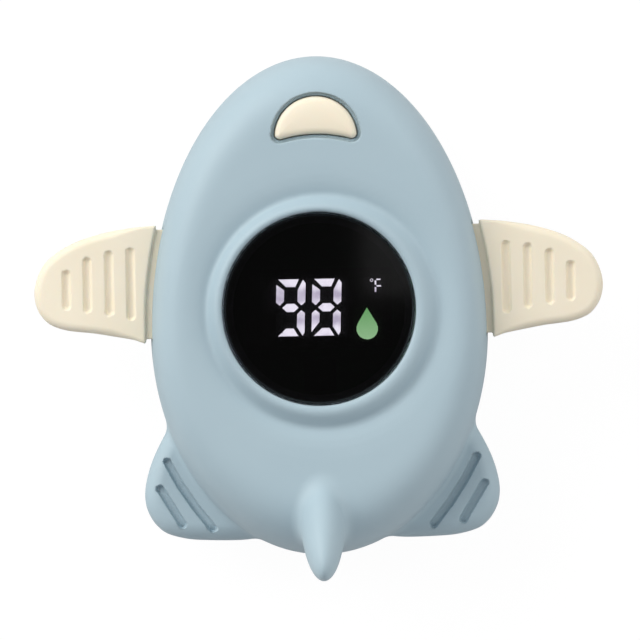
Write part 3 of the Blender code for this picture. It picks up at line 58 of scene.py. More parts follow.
PROFILE_STEP, PROFILE_BLUR = 0.1, 7
FIN_SIZE, FIN_MIDDLE, FIN_LEAN = (4.4, 7.0, 20.5), (0.0, -37.8, 28.4), math.radians(37.0)
SIDE_FIN_OUTLINE = (
    (26.0, -16.0), (28.3, -20.3), (29.4, -22.7), (30.8, -25.3), (32.2, -28.3), (33.2, -31.4),
    (33.7, -34.5), (33.4, -37.2), (32.4, -39.4), (31.3, -40.8), (29.6, -42.1), (26.2, -43.1),
    (22.0, -43.5), (14.0, -43.5), (10.0, -42.0), (10.0, -16.0))
SIDE_FIN_HALF_THICKNESS, SIDE_FIN_ROUNDING = 5.0, 3.2
SIDE_FIN_FILLET, UPRIGHT_FIN_FILLET = 1.2, 2.2
SIDE_GROOVES = (
    ((29.3, -28.5), (27.0, -32.8), (24.0, -37.3), (20.9, -41.2)), ((30.75, -33.6), (26.6, -40.4)))
SIDE_GROOVE_WIDTH, SIDE_GROOVE_DEPTH, SIDE_GROOVE_BLUNT = 1.35, 1.4, 4.0
SIDE_GROOVE_REACH_Z, GROOVE_SPREAD = 7.0, 0.62
SCREW_PLACES, UPPER_POST_RADIUS, LOWER_POST_RADIUS = ((18.2, 24.0), (16.93, -28.0)), 3.2, 3.6
SCREW_WELL_RADIUS, SCREW_WELL_TOP_Z = 2.5, 4.9
BUTTON_FRONT_Y, BUTTON_REAR_Y = 32.38, 9.1
BUTTON_RADIUS, BUTTON_TIP, BUTTON_HOLLOW = 7.8, 0.95, 24.0
GROOVE_REACH, SLOT_REACH, ROOM_REACH, WELL_REACH = 0.75, 0.15, 1.6, 3.1
BUTTON_FLOOR_Z, BUTTON_ROOF_Z, BUTTON_GROOVE_DEPTH = 26.0, 30.6, 1.3
NECK_HALF_WIDTH, NECK_Y, NECK_HALF_THICKNESS, WING_Z = 10.35, 5.25, 3.3, 20.5
NECK_SLOT_X = (20.0, 40.0)
BAY_Y, BAY_HALF_WIDTH, BAY_HALF_LENGTH, BAY_CEILING_Z = -0.5, 11.3, 25.3, 13.3
BAY_WALL, BAY_CORNER, SEAT_WIDTH, SEAT_CORNER, SEAT_TOP_Z = 1.4, 0.5, 4.3, 3.0, 4.4
DOOR_LIP, DOOR_THICKNESS, DOOR_CORNER = 2.3, 1.7, 3.3
DOOR_SCREW_FROM_BAY, DOOR_POST_RADIUS, DOOR_POST_TOP_Z = 6.3, 4.6, 11.2
TAB_RADIUS, TAB_TOP_Z, TAB_HALF_WIDTH, TAB_START = 3.7, 3.7, 2.9, 26.0
PROBE_Y, PROBE_POST_RADIUS, PROBE_POST_TOP_Z = 38.6, 4.2, 3.8
PROBE_SEAT_RADIUS, PROBE_SEAT_TOP_Z, PROBE_BORE_RADIUS, PROBE_BORE_TOP_Z = 3.4, 1.15, 2.4, 5.8
BORE_EDGE, NECK_SLOT_EDGE, BUTTON_GROOVE_EDGE, DOOR_EDGE, WELL_EDGE = 0.5, 0.4, 0.2, 0.3, 0.5
BELOW_Z, FAR, TINY, TINIEST = -5.0, 99.0, 1e-6, 1e-9


def smooth_union(a, b, width):
    """Field of two solids joined with a fillet: the lower of the two, lowered further by a
    parabola where they differ by less than width."""
    share = np.clip(0.5 + 0.5 * (b - a) / width, 0.0, 1.0)
    return b + (a - b) * share - width * share * (1.0 - share)


def smooth_cut(a, tool, width):
    """Field of solid a without the inside of tool, its new edge rounded over width."""
    return -smooth_union(-a, tool, width)


def egg_reach(across, along, half_width, nose, tail):
    """Distance from the egg's middle to its rim in the direction of each point: the radius of
    an ellipse whose length differs to the nose and to the tail."""
    spread = np.hypot(across, along) + TINY
    return spread / np.hypot(across / half_width, along / np.where(along > 0.0, nose, tail))


def side_field(x, y):
    """Plan distance to the egg's rim along the line to its middle, scaled to be square to the
    rim at its sides."""
    along = y - WIDEST_Y
    rim = egg_reach(x, along, BODY_HALF_WIDTH, NOSE_LENGTH, TAIL_LENGTH)
    return (np.hypot(x, along) / rim - 1.0) * BODY_HALF_WIDTH


def hull_field(x, y, z):
    """Distance to the egg-shaped body. In plan a point's place between flat and rim is out,
    and its height between parting and top is up; the surface is where the cubes of out and
    up add to 1. The difference is divided by its own slope to turn it into mm."""
    along = y - WIDEST_Y
    spread = np.hypot(x, along)
    upper = z > PARTING_Z
    rim = egg_reach(x, along, BODY_HALF_WIDTH, NOSE_LENGTH, TAIL_LENGTH)
    flats = [
        egg_reach(x, along, BODY_HALF_WIDTH - side, NOSE_LENGTH - nose, TAIL_LENGTH - tail)
        for side, nose, tail in (TOP_SHOULDERS, BASE_SHOULDERS)]
    flat = np.where(upper, *flats)
    rise = np.where(upper, TOP_Z - PARTING_Z, PARTING_Z)
    out = np.clip((spread - flat) / (rim - flat), 0.0, None)
    up = np.abs(z - PARTING_Z) / rise
    level = (out ** SHOULDER_POWER + up ** SHOULDER_POWER) ** (1 / SHOULDER_POWER) + TINY
    turn = SHOULDER_POWER - 1
    slope = np.hypot((out / level) ** turn / (rim - flat), (up / level) ** turn / rise)
    return (level - 1.0) / (slope + TINY)


def line_distance(x, y, start, end):
    """Plan distance to a straight line with two ends."""
    run, climb = end[0] - start[0], end[1] - start[1]
    share = ((x - start[0]) * run + (y - start[1]) * climb) / (run * run + climb * climb)
    share = np.clip(share, 0.0, 1.0)
    return np.hypot(x - start[0] - share * run, y - start[1] - share * climb)


def outline_field(x, y, loop):
    """Plan distance to a closed outline, below 0 inside: the nearest of its edges, with the
    side found by counting how many edges a ray crosses."""
    x, y = np.broadcast_arrays(x, y)
    nearest = np.full(x.shape, np.inf)
    within = np.zeros(x.shape, bool)
    for (ax, ay), (bx, by) in zip(loop, (*loop[1:], loop[0])):
        nearest = np.minimum(nearest, line_distance(x, y, (ax, ay), (bx, by)))
        crosses = (y < ay) != (y < by)
        within ^= crosses & (x < ax + (y - ay) * (bx - ax) / (by - ay + TINIEST))
    return np.where(within, -nearest, nearest)


SHARP_CORNER, TABLE_STEP, TABLE_MARGIN = math.radians(40.0), 0.1, 4.0


def rounded_outline(loop):
    """Closed outline with a new point in each edge, moved off the edge onto the curve through
    the four nearest points unless one end is a sharp corner; done twice."""
    points = np.array(loop, float)
    ahead, behind = np.roll(points, -1, 0) - points, points - np.roll(points, 1, 0)
    turn = np.arctan2(ahead[:, 1], ahead[:, 0]) - np.arctan2(behind[:, 1], behind[:, 0])
    sharp = np.abs((turn + math.pi) % (2 * math.pi) - math.pi) > SHARP_CORNER
    for _ in range(2):
        after = np.roll(points, -1, 0)
        bend = (points + after - np.roll(points, 1, 0) - np.roll(points, -2, 0)) / 16
        bend[sharp | np.roll(sharp, -1)] = 0.0
        points = np.stack([points, (points + after) / 2 + bend], 1).reshape(-1, 2)
        sharp = np.stack([sharp, np.zeros(len(sharp), bool)], 1).ravel()
    return points


def distance_table(loop):
    """Function that gives the plan distance to a closed outline. The distance is worked out
    once on a fine grid and read between its places by mixing the four nearest values; past the
    grid's border the way to the border is added."""
    low, high = np.min(loop, 0) - TABLE_MARGIN, np.max(loop, 0) + TABLE_MARGIN
    lines = [np.arange(a, b, TABLE_STEP) for a, b in zip(low, high)]
    table = outline_field(lines[0][:, None], lines[1][None, :], loop)

    def read(x, y):
        across, along = (x - low[0]) / TABLE_STEP, (y - low[1]) / TABLE_STEP
        near_x = np.clip(across, 0.0, len(lines[0]) - 1.001)
        near_y = np.clip(along, 0.0, len(lines[1]) - 1.001)
        i, j = near_x.astype(int), near_y.astype(int)
        share_x, share_y = near_x - i, near_y - j
        left = table[i, j] * (1.0 - share_y) + table[i, j + 1] * share_y
        right = table[i + 1, j] * (1.0 - share_y) + table[i + 1, j + 1] * share_y
        past = np.hypot(across - near_x, along - near_y) * TABLE_STEP
        return left * (1.0 - share_x) + right * share_x + past

    return read


def pressed_groove(field, distance, width, depth, blunt=2.0):
    """The field moved inward along a groove: full depth on its line, none beyond its width,
    with a cosine between whose floor is the flatter the higher blunt is."""
    share = np.clip(distance / (GROOVE_SPREAD * width), 0.0, 1.0)
    return field + depth * (0.5 + 0.5 * np.cos(math.pi * share ** blunt))


def slab_field(plan, z, middle, half_thickness, rounding):
    """Distance to a flat piece with a round edge, from its plan distance and its height."""
    sideways = plan + rounding
    upward = np.abs(z - middle) - half_thickness + rounding
    outside = np.hypot(np.maximum(sideways, 0.0), np.maximum(upward, 0.0))
    return outside + np.minimum(np.maximum(sideways, upward), 0.0) - rounding


def box_field(x, y, z, low, high):
    """Largest of the distances past the six faces of a box."""
    walls = [np.maximum(a - v, v - b) for v, a, b in zip((x, y, z), low, high)]
    return np.maximum(np.maximum(walls[0], walls[1]), walls[2])


def post_field(x, y, z, place, radius, low, high):
    """Largest of the distances past the side and the ends of an upright cylinder."""
    return np.maximum(np.hypot(x - place[0], y - place[1]) - radius, np.maximum(low - z, z - high))


def ring_lift(x, y):
    """Height that the ring and the dip round it add to the flat top, from the distance to the
    window's middle: the profile's straight runs, averaged over 0.7 mm so that they are round.
    The ring's outer slope is centred a little to the right of the window, towards the tail."""
    radii, lifts = np.array(RING_PROFILE).T
    table = np.arange(0.0, radii[-1], PROFILE_STEP)
    even = np.ones(PROFILE_BLUR) / PROFILE_BLUR
    soft = np.convolve(np.interp(table, radii, lifts), even, "same")
    share = np.clip((np.hypot(x, y) - SHIFT_START) / SHIFT_RUN, 0.0, 1.0)
    spread = np.hypot(x - share * RING_SHIFT[0], y - share * RING_SHIFT[1])
    return np.interp(spread, table[:-PROFILE_BLUR], soft[:-PROFILE_BLUR])


def upright_fin_field(x, y, z):
    """Distance to the leaning fin, an ellipsoid turned back about X."""
    ahead, above = y - FIN_MIDDLE[1], z - FIN_MIDDLE[2]
    across = math.cos(FIN_LEAN) * ahead + math.sin(FIN_LEAN) * above
    length = math.cos(FIN_LEAN) * above - math.sin(FIN_LEAN) * ahead
    parts = [v / size for v, size in zip((x, across, length), FIN_SIZE)]
    near = np.sqrt(parts[0] ** 2 + parts[1] ** 2 + parts[2] ** 2) + TINY
    slope = np.sqrt(sum((part / size) ** 2 for part, size in zip(parts, FIN_SIZE))) + TINY
    return near * (near - 1.0) / slope


side_fin_distance = distance_table(rounded_outline(SIDE_FIN_OUTLINE))


def side_fins_field(x, y, z):
    """Distance to both side fins, which mirror each other."""
    plan = side_fin_distance(np.abs(x), y)
    return slab_field(plan, z, PARTING_Z, SIDE_FIN_HALF_THICKNESS, SIDE_FIN_ROUNDING)


def grooved(field, x, y, z):
    """The body's field with the two grooves pressed into both faces of each side fin, but not
    into the top of the body above them."""
    for line in SIDE_GROOVES:
        distance = line_distance(np.abs(x), y, line[0], line[1])
        for start, end in zip(line[1:], line[2:]):
            distance = np.minimum(distance, line_distance(np.abs(x), y, start, end))
        near = np.where(np.abs(z - PARTING_Z) < SIDE_GROOVE_REACH_Z, distance, FAR)
        field = pressed_groove(
            field, near, SIDE_GROOVE_WIDTH, SIDE_GROOVE_DEPTH, SIDE_GROOVE_BLUNT)
    return field


def neck_slot(x, y, z):
    """Slots in both sides of the body that the wings' necks pass through."""
    reach, half = NECK_HALF_WIDTH + GAP, NECK_HALF_THICKNESS + GAP
    return box_field(
        np.abs(x), y, z, (NECK_SLOT_X[0], NECK_Y - reach, WING_Z - half),
        (NECK_SLOT_X[1], NECK_Y + reach, WING_Z + half))


def half_moon():
    """Outline of the button: a round front, small round tips and a hollow rear, each an arc
    of so many steps that starts where the last one ends."""
    front, rear = BUTTON_RADIUS - BUTTON_TIP, BUTTON_HOLLOW + BUTTON_TIP
    span = BUTTON_FRONT_Y - BUTTON_REAR_Y
    tip_y = BUTTON_REAR_Y + (rear ** 2 - front ** 2 + span ** 2) / (2 * span)
    tip_x = math.sqrt(front ** 2 - (tip_y - BUTTON_FRONT_Y) ** 2)
    rise = math.atan2(tip_y - BUTTON_FRONT_Y, tip_x)
    fall = math.atan2(tip_y - BUTTON_REAR_Y, tip_x)
    arcs = (
        ((0.0, BUTTON_FRONT_Y), BUTTON_RADIUS, rise, math.pi - rise, 60),
        ((-tip_x, tip_y), BUTTON_TIP, math.pi - rise, 2 * math.pi - fall, 12),
        ((0.0, BUTTON_REAR_Y), BUTTON_HOLLOW, math.pi - fall, fall, 24),
        ((tip_x, tip_y), BUTTON_TIP, fall - math.pi, rise, 12))
    points = []
    for middle, size, start, end, steps in arcs:
        turn = np.linspace(start, end, steps, endpoint=False)
        points += zip(middle[0] + size * np.cos(turn), middle[1] + size * np.sin(turn))
    return tuple(points)


button_distance = distance_table(half_moon())


def upper_field(x, y, z):
    """Upper shell: hull with ring, joined to the fins and hollowed; then the window's ledge,
    the button's well and the screw posts are added inside, and the bore, the button's slot,
    room and groove and the wings' slots are cut."""
    hull, spread, moon = hull_field(x, y, z), np.hypot(x, y), button_distance(x, y)
    within = hull + WALL / 2
    form = hull_field(x, y, z - ring_lift(x, y))
    form = smooth_union(form, side_fins_field(x, y, z), SIDE_FIN_FILLET)
    form = smooth_union(form, upright_fin_field(x, y, z), UPRIGHT_FIN_FILLET)
    form = np.maximum(grooved(form, x, y, z), -WALL - hull)
    ledge = np.maximum(spread - BORE_RADIUS - WALL, np.maximum(LEDGE_BASE_Z - z, z - TOP_Z))
    well = np.maximum(moon - WELL_REACH, BUTTON_FLOOR_Z - z)
    form = np.minimum(form, np.minimum(ledge, np.maximum(well, within)))
    for place in SCREW_PLACES:
        post = post_field(np.abs(x), y, z, place, UPPER_POST_RADIUS, PARTING_Z, TOP_Z - WALL)
        form = np.minimum(form, np.maximum(post, within))
    form = smooth_cut(form, np.maximum(spread - BORE_RADIUS, LEDGE_TOP_Z - z), BORE_EDGE)
    form = np.maximum(form, LEDGE_RADIUS - spread - FAR * (z < LEDGE_BASE_Z - GAP))
    floor = BUTTON_FLOOR_Z - GAP - z
    form = np.maximum(form, -np.maximum(moon - SLOT_REACH, floor))
    form = np.maximum(form, -np.maximum(moon - ROOM_REACH, np.maximum(floor, z - BUTTON_ROOF_Z)))
    groove = np.maximum(moon - GROOVE_REACH, -BUTTON_GROOVE_DEPTH - hull)
    form = smooth_cut(form, groove, BUTTON_GROOVE_EDGE)
    form = smooth_cut(form, neck_slot(x, y, z), NECK_SLOT_EDGE)
    return np.maximum(form, PARTING_Z + SEAM - z)


def bay_plan(x, y, past, corner):
    """Plan distance to the bay's rectangle, made larger by past, with round corners."""
    across = np.abs(x) - BAY_HALF_WIDTH - past + corner
    along = np.abs(y - BAY_Y) - BAY_HALF_LENGTH - past + corner
    outside = np.hypot(np.maximum(across, 0.0), np.maximum(along, 0.0))
    return outside + np.minimum(np.maximum(across, along), 0.0) - corner


def lower_field(x, y, z):
    """Lower shell: hull joined to the fins and hollowed; then the bay's walls and seat, the
    posts of the door, the housing screws and the probe are added inside, and the bay, the
    door's seat with its two tabs, the screw wells and the probe's bore are cut."""
    hull, probe = hull_field(x, y, z), (0.0, PROBE_Y)
    form = smooth_union(hull, side_fins_field(x, y, z), SIDE_FIN_FILLET)
    form = np.maximum(grooved(form, x, y, z), -WALL - hull)
    inner = np.minimum(
        np.maximum(bay_plan(x, y, BAY_WALL, BAY_WALL), z - BAY_CEILING_Z - BAY_WALL),
        np.maximum(bay_plan(x, y, SEAT_WIDTH, SEAT_CORNER), z - SEAT_TOP_Z))
    reach = BAY_HALF_LENGTH + DOOR_SCREW_FROM_BAY
    ends = (BAY_Y + reach, BAY_Y - reach)
    for end in ends:
        post = post_field(x, y, z, (0.0, end), DOOR_POST_RADIUS, 0.0, DOOR_POST_TOP_Z)
        inner = np.minimum(inner, post)
    for place in SCREW_PLACES:
        post = post_field(np.abs(x), y, z, place, LOWER_POST_RADIUS, 0.0, PARTING_Z)
        inner = np.minimum(inner, post)
    inner = np.minimum(inner, post_field(x, y, z, probe, PROBE_POST_RADIUS, 0.0, PROBE_POST_TOP_Z))
    form = np.minimum(form, np.maximum(inner, hull + WALL / 2))
    door_top = DOOR_THICKNESS + GAP
    room = np.maximum(bay_plan(x, y, 0.0, BAY_CORNER), z - BAY_CEILING_Z)
    door = np.maximum(bay_plan(x, y, DOOR_LIP + GAP, DOOR_CORNER), z - door_top)
    form = smooth_cut(form, np.minimum(room, door), DOOR_EDGE)
    for end in ends:
        tab = post_field(x, y, z, (0.0, end), TAB_RADIUS, BELOW_Z, TAB_TOP_Z)
        form = smooth_cut(form, tab, DOOR_EDGE)
        span = sorted((end, TAB_START * np.sign(end)))
        neck = box_field(
            x, y, z, (-TAB_HALF_WIDTH, span[0], BELOW_Z), (TAB_HALF_WIDTH, span[1], door_top))
        form = smooth_cut(form, neck, DOOR_EDGE)
    for place in SCREW_PLACES:
        well = post_field(np.abs(x), y, z, place, SCREW_WELL_RADIUS, BELOW_Z, SCREW_WELL_TOP_Z)
        form = smooth_cut(form, well, WELL_EDGE)
    seat = post_field(x, y, z, probe, PROBE_SEAT_RADIUS, BELOW_Z, PROBE_SEAT_TOP_Z)
    form = smooth_cut(form, seat, DOOR_EDGE)
    bore = post_field(x, y, z, probe, PROBE_BORE_RADIUS, BELOW_Z, PROBE_BORE_TOP_Z)
    return np.maximum(np.maximum(form, -bore), z - PARTING_Z + SEAM)


def grid_axis(*runs):
    """Grid values along one axis from runs of (start, end, step)."""
    return np.concatenate([np.arange(start, end - step / 4, step) for start, end, step in runs])


def sampled_surface(field, axes):
    """Points and quads of the surface where a field crosses 0.

    The field is sampled on a grid. Each box that the surface passes through holds one point,
    the mean of where the surface cuts the box's edges, and each grid line that it cuts is
    covered by a quad on the four boxes round that line."""
    values = field(axes[0][:, None, None], axes[1][None, :, None], axes[2][None, None, :])
    inside = values < 0.0
    shape = tuple(size - 1 for size in values.shape)
    corners = [(i, j, k) for i in (0, 1) for j in (0, 1) for k in (0, 1)]
    held = np.zeros(shape, np.int8)
    for i, j, k in corners:
        held += inside[i:i + shape[0], j:j + shape[1], k:k + shape[2]]
    crossed = (held > 0) & (held < 8)
    cubes = np.argwhere(crossed)
    sample = {corner: values[tuple((cubes + corner).T)] for corner in corners}
    total, number = np.zeros((len(cubes), 3)), np.zeros(len(cubes))
    for corner in corners:
        for axis in [axis for axis in range(3) if corner[axis] == 0]:
            other = tuple(1 if i == axis else corner[i] for i in range(3))
            cut = (sample[corner] < 0.0) != (sample[other] < 0.0)
            share = np.where(cut, sample[corner], 0.0)
            share = share / np.where(cut, sample[corner] - sample[other], 1.0)
            place = np.tile(np.array(corner, float), (len(cubes), 1))
            place[:, axis] = share
            total += place * cut[:, None]
            number += cut
    share = total / number[:, None]
    points = np.stack([
        axis[cubes[:, i]] + share[:, i] * np.diff(axis)[cubes[:, i]]
        for i, axis in enumerate(axes)], 1)
    numbers = np.full(shape, -1)
    numbers[crossed] = np.arange(len(cubes))
    quads = []
    for axis in range(3):
        near, far = [slice(1, -1)] * 3, [slice(1, -1)] * 3
        near[axis], far[axis] = slice(0, -1), slice(1, None)
        offset = np.array([0 if i == axis else 1 for i in range(3)])
        line = np.argwhere(inside[tuple(near)] != inside[tuple(far)]) + offset
        steps = np.zeros((4, 3), int)
        steps[:, (axis + 1) % 3] = (1, 0, 0, 1)
        steps[:, (axis + 2) % 3] = (1, 1, 0, 0)
        quad = np.stack([numbers[tuple((line - step).T)] for step in steps], 1)
        outward = inside[tuple(line.T)]
        quads.append(np.where(outward[:, None], quad, quad[:, ::-1]))
    return points, np.concatenate(quads)


SETTLING_STEP, NORMAL_STEP = 0.02, 0.05


def slopes(field, points, step):
    """Slope of the field at each point, from its difference over two steps along each axis."""
    parts = []
    for axis in range(3):
        shift = np.zeros(3)
        shift[axis] = step
        parts.append((field(*(points + shift).T) - field(*(points - shift).T)) / (2 * step))
    return np.stack(parts, 1)


def settled(field, points, quads, cell):
    """Points evened out and moved onto the surface, with the surface's direction at each.

    Each point goes half way to the mean of its neighbours, then back along the slope by the
    field's value over the slope's length, three times over."""
    for turn in range(3):
        if turn < 2:
            total = np.zeros_like(points)
            number = np.zeros(len(points))
            for i in range(4):
                here, there = quads[:, i], quads[:, (i + 1) % 4]
                for axis in range(3):
                    total[:, axis] += np.bincount(here, points[there, axis], len(points))
                    total[:, axis] += np.bincount(there, points[here, axis], len(points))
                number += np.bincount(here, minlength=len(points))
                number += np.bincount(there, minlength=len(points))
            points = points + 0.5 * (total / number[:, None] - points)
        for _ in range(2):
            slope = slopes(field, points, SETTLING_STEP)
            steep = np.sum(slope ** 2, 1) + TINY
            move = field(*points.T)[:, None] * slope / steep[:, None]
            length = np.linalg.norm(move, axis=1)[:, None] + TINIEST
            points = points - move * np.minimum(1.0, 0.5 * cell / length)
    slope = slopes(field, points, NORMAL_STEP)
    return points, slope / (np.linalg.norm(slope, axis=1)[:, None] + TINIEST)


def quad_piece(name, points, quads, normals=None):
    """Smooth mesh object from points in mm and quads, with its normals where they are known."""
    mesh = bpy.data.meshes.new(name)
    mesh.vertices.add(len(points))
    mesh.vertices.foreach_set("co", (np.asarray(points) * MM).astype(np.float32).ravel())
    mesh.loops.add(quads.size)
    mesh.loops.foreach_set("vertex_index", quads.astype(np.int32).ravel())
    mesh.polygons.add(len(quads))
    mesh.polygons.foreach_set("loop_start", np.arange(0, quads.size, 4, dtype=np.int32))
    mesh.update(calc_edges=True)
    mesh.validate()
    mesh.shade_smooth()
    if normals is not None:
        mesh.normals_split_custom_set_from_vertices(normals.astype(np.float32))
    piece = bpy.data.objects.new(name, mesh)
    bpy.context.scene.collection.objects.link(piece)
    return piece


def field_piece(name, field, axes, cell):
    """Mesh object of the surface of a field, sampled on a grid with boxes of about one cell."""
    points, quads = sampled_surface(field, axes)
    points, normals = settled(field, points, quads, cell)
    return quad_piece(name, points, quads, normals)


def linear(code):
    """Linear RGBA of an sRGB hex colour."""
    channels = [int(code[i:i + 2], 16) / 255 for i in (1, 3, 5)]
    channels = [c / 12.92 if c <= 0.04045 else ((c + 0.055) / 1.055) ** 2.4 for c in channels]
    return (*channels, 1.0)


def add_node(material, kind, settings=(), inputs=()):
    """New shader node with its settings; an input is a value or another node's output."""
    tree = material.node_tree
    node = tree.nodes.new(kind)
    for name, value in dict(settings).items():
        setattr(node, name, value)
    for name, value in dict(inputs).items():
        if isinstance(value, bpy.types.NodeSocket):
            tree.links.new(value, node.inputs[name])
        else:
            node.inputs[name].default_value = value
    return node


def new_material(name):
    """Material with no nodes but its output."""
    material = bpy.data.materials.new(name)
    material.use_nodes = True
    material.node_tree.nodes.clear()
    return material


def place_in(material):
    """Object coordinates of the shaded point, in metres."""
    return add_node(material, "ShaderNodeTexCoord").outputs["Object"]


def noise_of(material, size_mm, detail):
    """Noise whose grains are about size_mm across."""
    return add_node(
        material, "ShaderNodeTexNoise", inputs={
            "Vector": place_in(material), "Scale": 1000.0 / size_mm, "Detail": detail,
            "Roughness": 0.5}).outputs["Fac"]


def spread_of(material, factor, low, high):
    """Factor from 0 to 1 mapped to values from low to high."""
    return add_node(
        material, "ShaderNodeMapRange",
        inputs={"Value": factor, "To Min": low, "To Max": high}).outputs["Result"]


def mixed(material, factor, first, second):
    """Colour between two colours, each a hex colour or another node's output."""
    node = add_node(material, "ShaderNodeMix", {"data_type": "RGBA"}, {"Factor": factor})
    sockets = [socket for socket in node.inputs if socket.type == "RGBA"]
    for socket, colour in zip(sockets, (first, second)):
        if isinstance(colour, str):
            socket.default_value = linear(colour)
        else:
            material.node_tree.links.new(colour, socket)
    return [socket for socket in node.outputs if socket.type == "RGBA"][0]


def bumped(material, height, depth_mm):
    """Normal of a surface whose height pattern is depth_mm deep."""
    return add_node(
        material, "ShaderNodeBump",
        inputs={"Height": height, "Distance": depth_mm * MM}).outputs["Normal"]


def finish(material, inputs):
    """Principled surface with these inputs, joined to the material's output."""
    shader = add_node(material, "ShaderNodeBsdfPrincipled", inputs=inputs)
    add_node(material, "ShaderNodeOutputMaterial", inputs={"Surface": shader.outputs["BSDF"]})
    return material


def soft_touch_abs():
    """Moulded ABS under a matt soft-touch coat: faint cloudiness, a fine even texture that
    keeps highlights wide, no edge gloss."""
    material = new_material("soft_touch_abs")
    cloud = noise_of(material, 14.0, 3.0)
    grain = noise_of(material, 0.22, 2.0)
    return finish(material, {
        "Base Color": mixed(material, cloud, "#a9bfca", "#afc4ce"),
        "Roughness": spread_of(material, grain, 0.5, 0.6),
        "IOR": 1.5, "Sheen Weight": 0.08, "Sheen Roughness": 0.5,
        "Normal": bumped(material, grain, 0.006)})


blue_coat = soft_touch_abs()
# The grid's cells are small at the fins and smallest round the button.
BODY_CELL, FINE_CELL, BUTTON_CELL = 0.72, 0.4, 0.26
SHELL_X, SHELL_Y, UPPER_Z, LOWER_Z = 35.6, (-54.6, 50.0), (14.6, 46.6), (-1.2, 16.8)
FIN_X, FIN_Y, BUTTON_X, BUTTON_Y = 19.0, -18.5, 9.3, (30.2, 42.0)
top_x = grid_axis(
    (-SHELL_X, -FIN_X, FINE_CELL), (-FIN_X, -BUTTON_X, BODY_CELL),
    (-BUTTON_X, BUTTON_X, BUTTON_CELL), (BUTTON_X, FIN_X, BODY_CELL),
    (FIN_X, SHELL_X, FINE_CELL))
top_y = grid_axis(
    (SHELL_Y[0], FIN_Y, FINE_CELL), (FIN_Y, BUTTON_Y[0], BODY_CELL), (*BUTTON_Y, BUTTON_CELL),
    (BUTTON_Y[1], SHELL_Y[1], BODY_CELL))
top_z = grid_axis((*UPPER_Z, BODY_CELL))
base_x = grid_axis(
    (-SHELL_X, -FIN_X, FINE_CELL), (-FIN_X, FIN_X, BODY_CELL), (FIN_X, SHELL_X, FINE_CELL))
base_y = grid_axis((SHELL_Y[0], FIN_Y, FINE_CELL), (FIN_Y, SHELL_Y[1], BODY_CELL))
base_z = grid_axis((*LOWER_Z, BODY_CELL))
upper_skin = field_piece("upper_skin", upper_field, (top_x, top_y, top_z), FINE_CELL)
lower_skin = field_piece("lower_skin", lower_field, (base_x, base_y, base_z), FINE_CELL)
for skin, node in ((upper_skin, "upper_shell"), (lower_skin, "lower_shell")):
    skin.data.materials.append(blue_coat)
    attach(skin, "housing")
    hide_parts(node)


# Wings: soft silicone rubber, moulded with four grooves in each face and plugged into the
# body by a flat neck whose head is wider than its slot, so they can be pulled in but not out.
WING_OUTLINE = (
    (32.95, -6.0), (35.1, -5.25), (38.2, -4.65), (42.7, -3.85), (47.3, -3.3),
    (50.2, -2.45), (51.9, -1.3), (53.3, 0.7), (53.95, 3.5), (53.5, 6.4), (52.2, 9.1),
    (50.3, 11.0), (47.3, 12.9), (44.3, 14.1), (41.2, 15.0), (38.2, 15.6), (34.6, 16.1),
    (30.6, 16.4), (31.75, 11.0), (32.55, 5.2), (32.9, 0.0))
WING_HALF_THICKNESS, WING_TIP_X, WING_TIP_SHARE = 4.3, 54.0, 0.62
WING_ROUNDING, ROOT_ROUNDING, ROUNDING_START, ROUNDING_GAIN = 1.5, 0.5, 0.075, 4.0
WING_GROOVES = ((35.6, -1.3, 12.1), (39.7, -0.35, 11.5), (43.8, 0.3, 10.4), (47.8, 0.85, 8.05))
WING_GROOVE_WIDTH, WING_GROOVE_DEPTH, WING_GROOVE_END = 1.5, 0.8, 0.6
NECK_END_X, NECK_ROUNDING, NECK_FILLET = 34.0, 0.2, 0.3
HEAD_DEPTHS, HEAD_LIP, HEAD_FILLET = (2.8, 4.7), 1.0, 0.4


wing_distance = distance_table(rounded_outline(WING_OUTLINE))


def wing_field(x, y, z):
    """One wing to the right: a slab that thins towards its tip as the square of the way out,
    with an edge that is round at the tip and firm at the root, grooves pressed into both
    faces, and a neck with its head that follow the body's side."""
    share = np.clip((x - BODY_HALF_WIDTH) / (WING_TIP_X - BODY_HALF_WIDTH), 0.0, 1.0)
    half = WING_HALF_THICKNESS * (1.0 - (1.0 - WING_TIP_SHARE) * share ** 2)
    tipward = np.clip(ROUNDING_GAIN * (share - ROUNDING_START), 0.0, 1.0)
    rounding = ROOT_ROUNDING + (WING_ROUNDING - ROOT_ROUNDING) * tipward
    blade = slab_field(wing_distance(x, y), z, WING_Z, half, rounding)
    for line_x, rear, front in WING_GROOVES:
        distance = line_distance(
            x, y, (line_x, rear + WING_GROOVE_END), (line_x, front - WING_GROOVE_END))
        blade = pressed_groove(blade, distance, WING_GROOVE_WIDTH, WING_GROOVE_DEPTH)
    depth, beside = -side_field(x, y), np.abs(y - NECK_Y) - NECK_HALF_WIDTH
    neck_plan = np.maximum(beside, np.maximum(depth - HEAD_DEPTHS[1], x - NECK_END_X))
    neck = slab_field(neck_plan, z, WING_Z, NECK_HALF_THICKNESS, NECK_ROUNDING)
    head_plan = np.maximum(
        beside - HEAD_LIP, np.maximum(depth - HEAD_DEPTHS[1], HEAD_DEPTHS[0] - depth))
    head = slab_field(head_plan, z, WING_Z, NECK_HALF_THICKNESS + HEAD_LIP, NECK_ROUNDING)
    return smooth_union(smooth_union(blade, neck, NECK_FILLET), head, HEAD_FILLET)


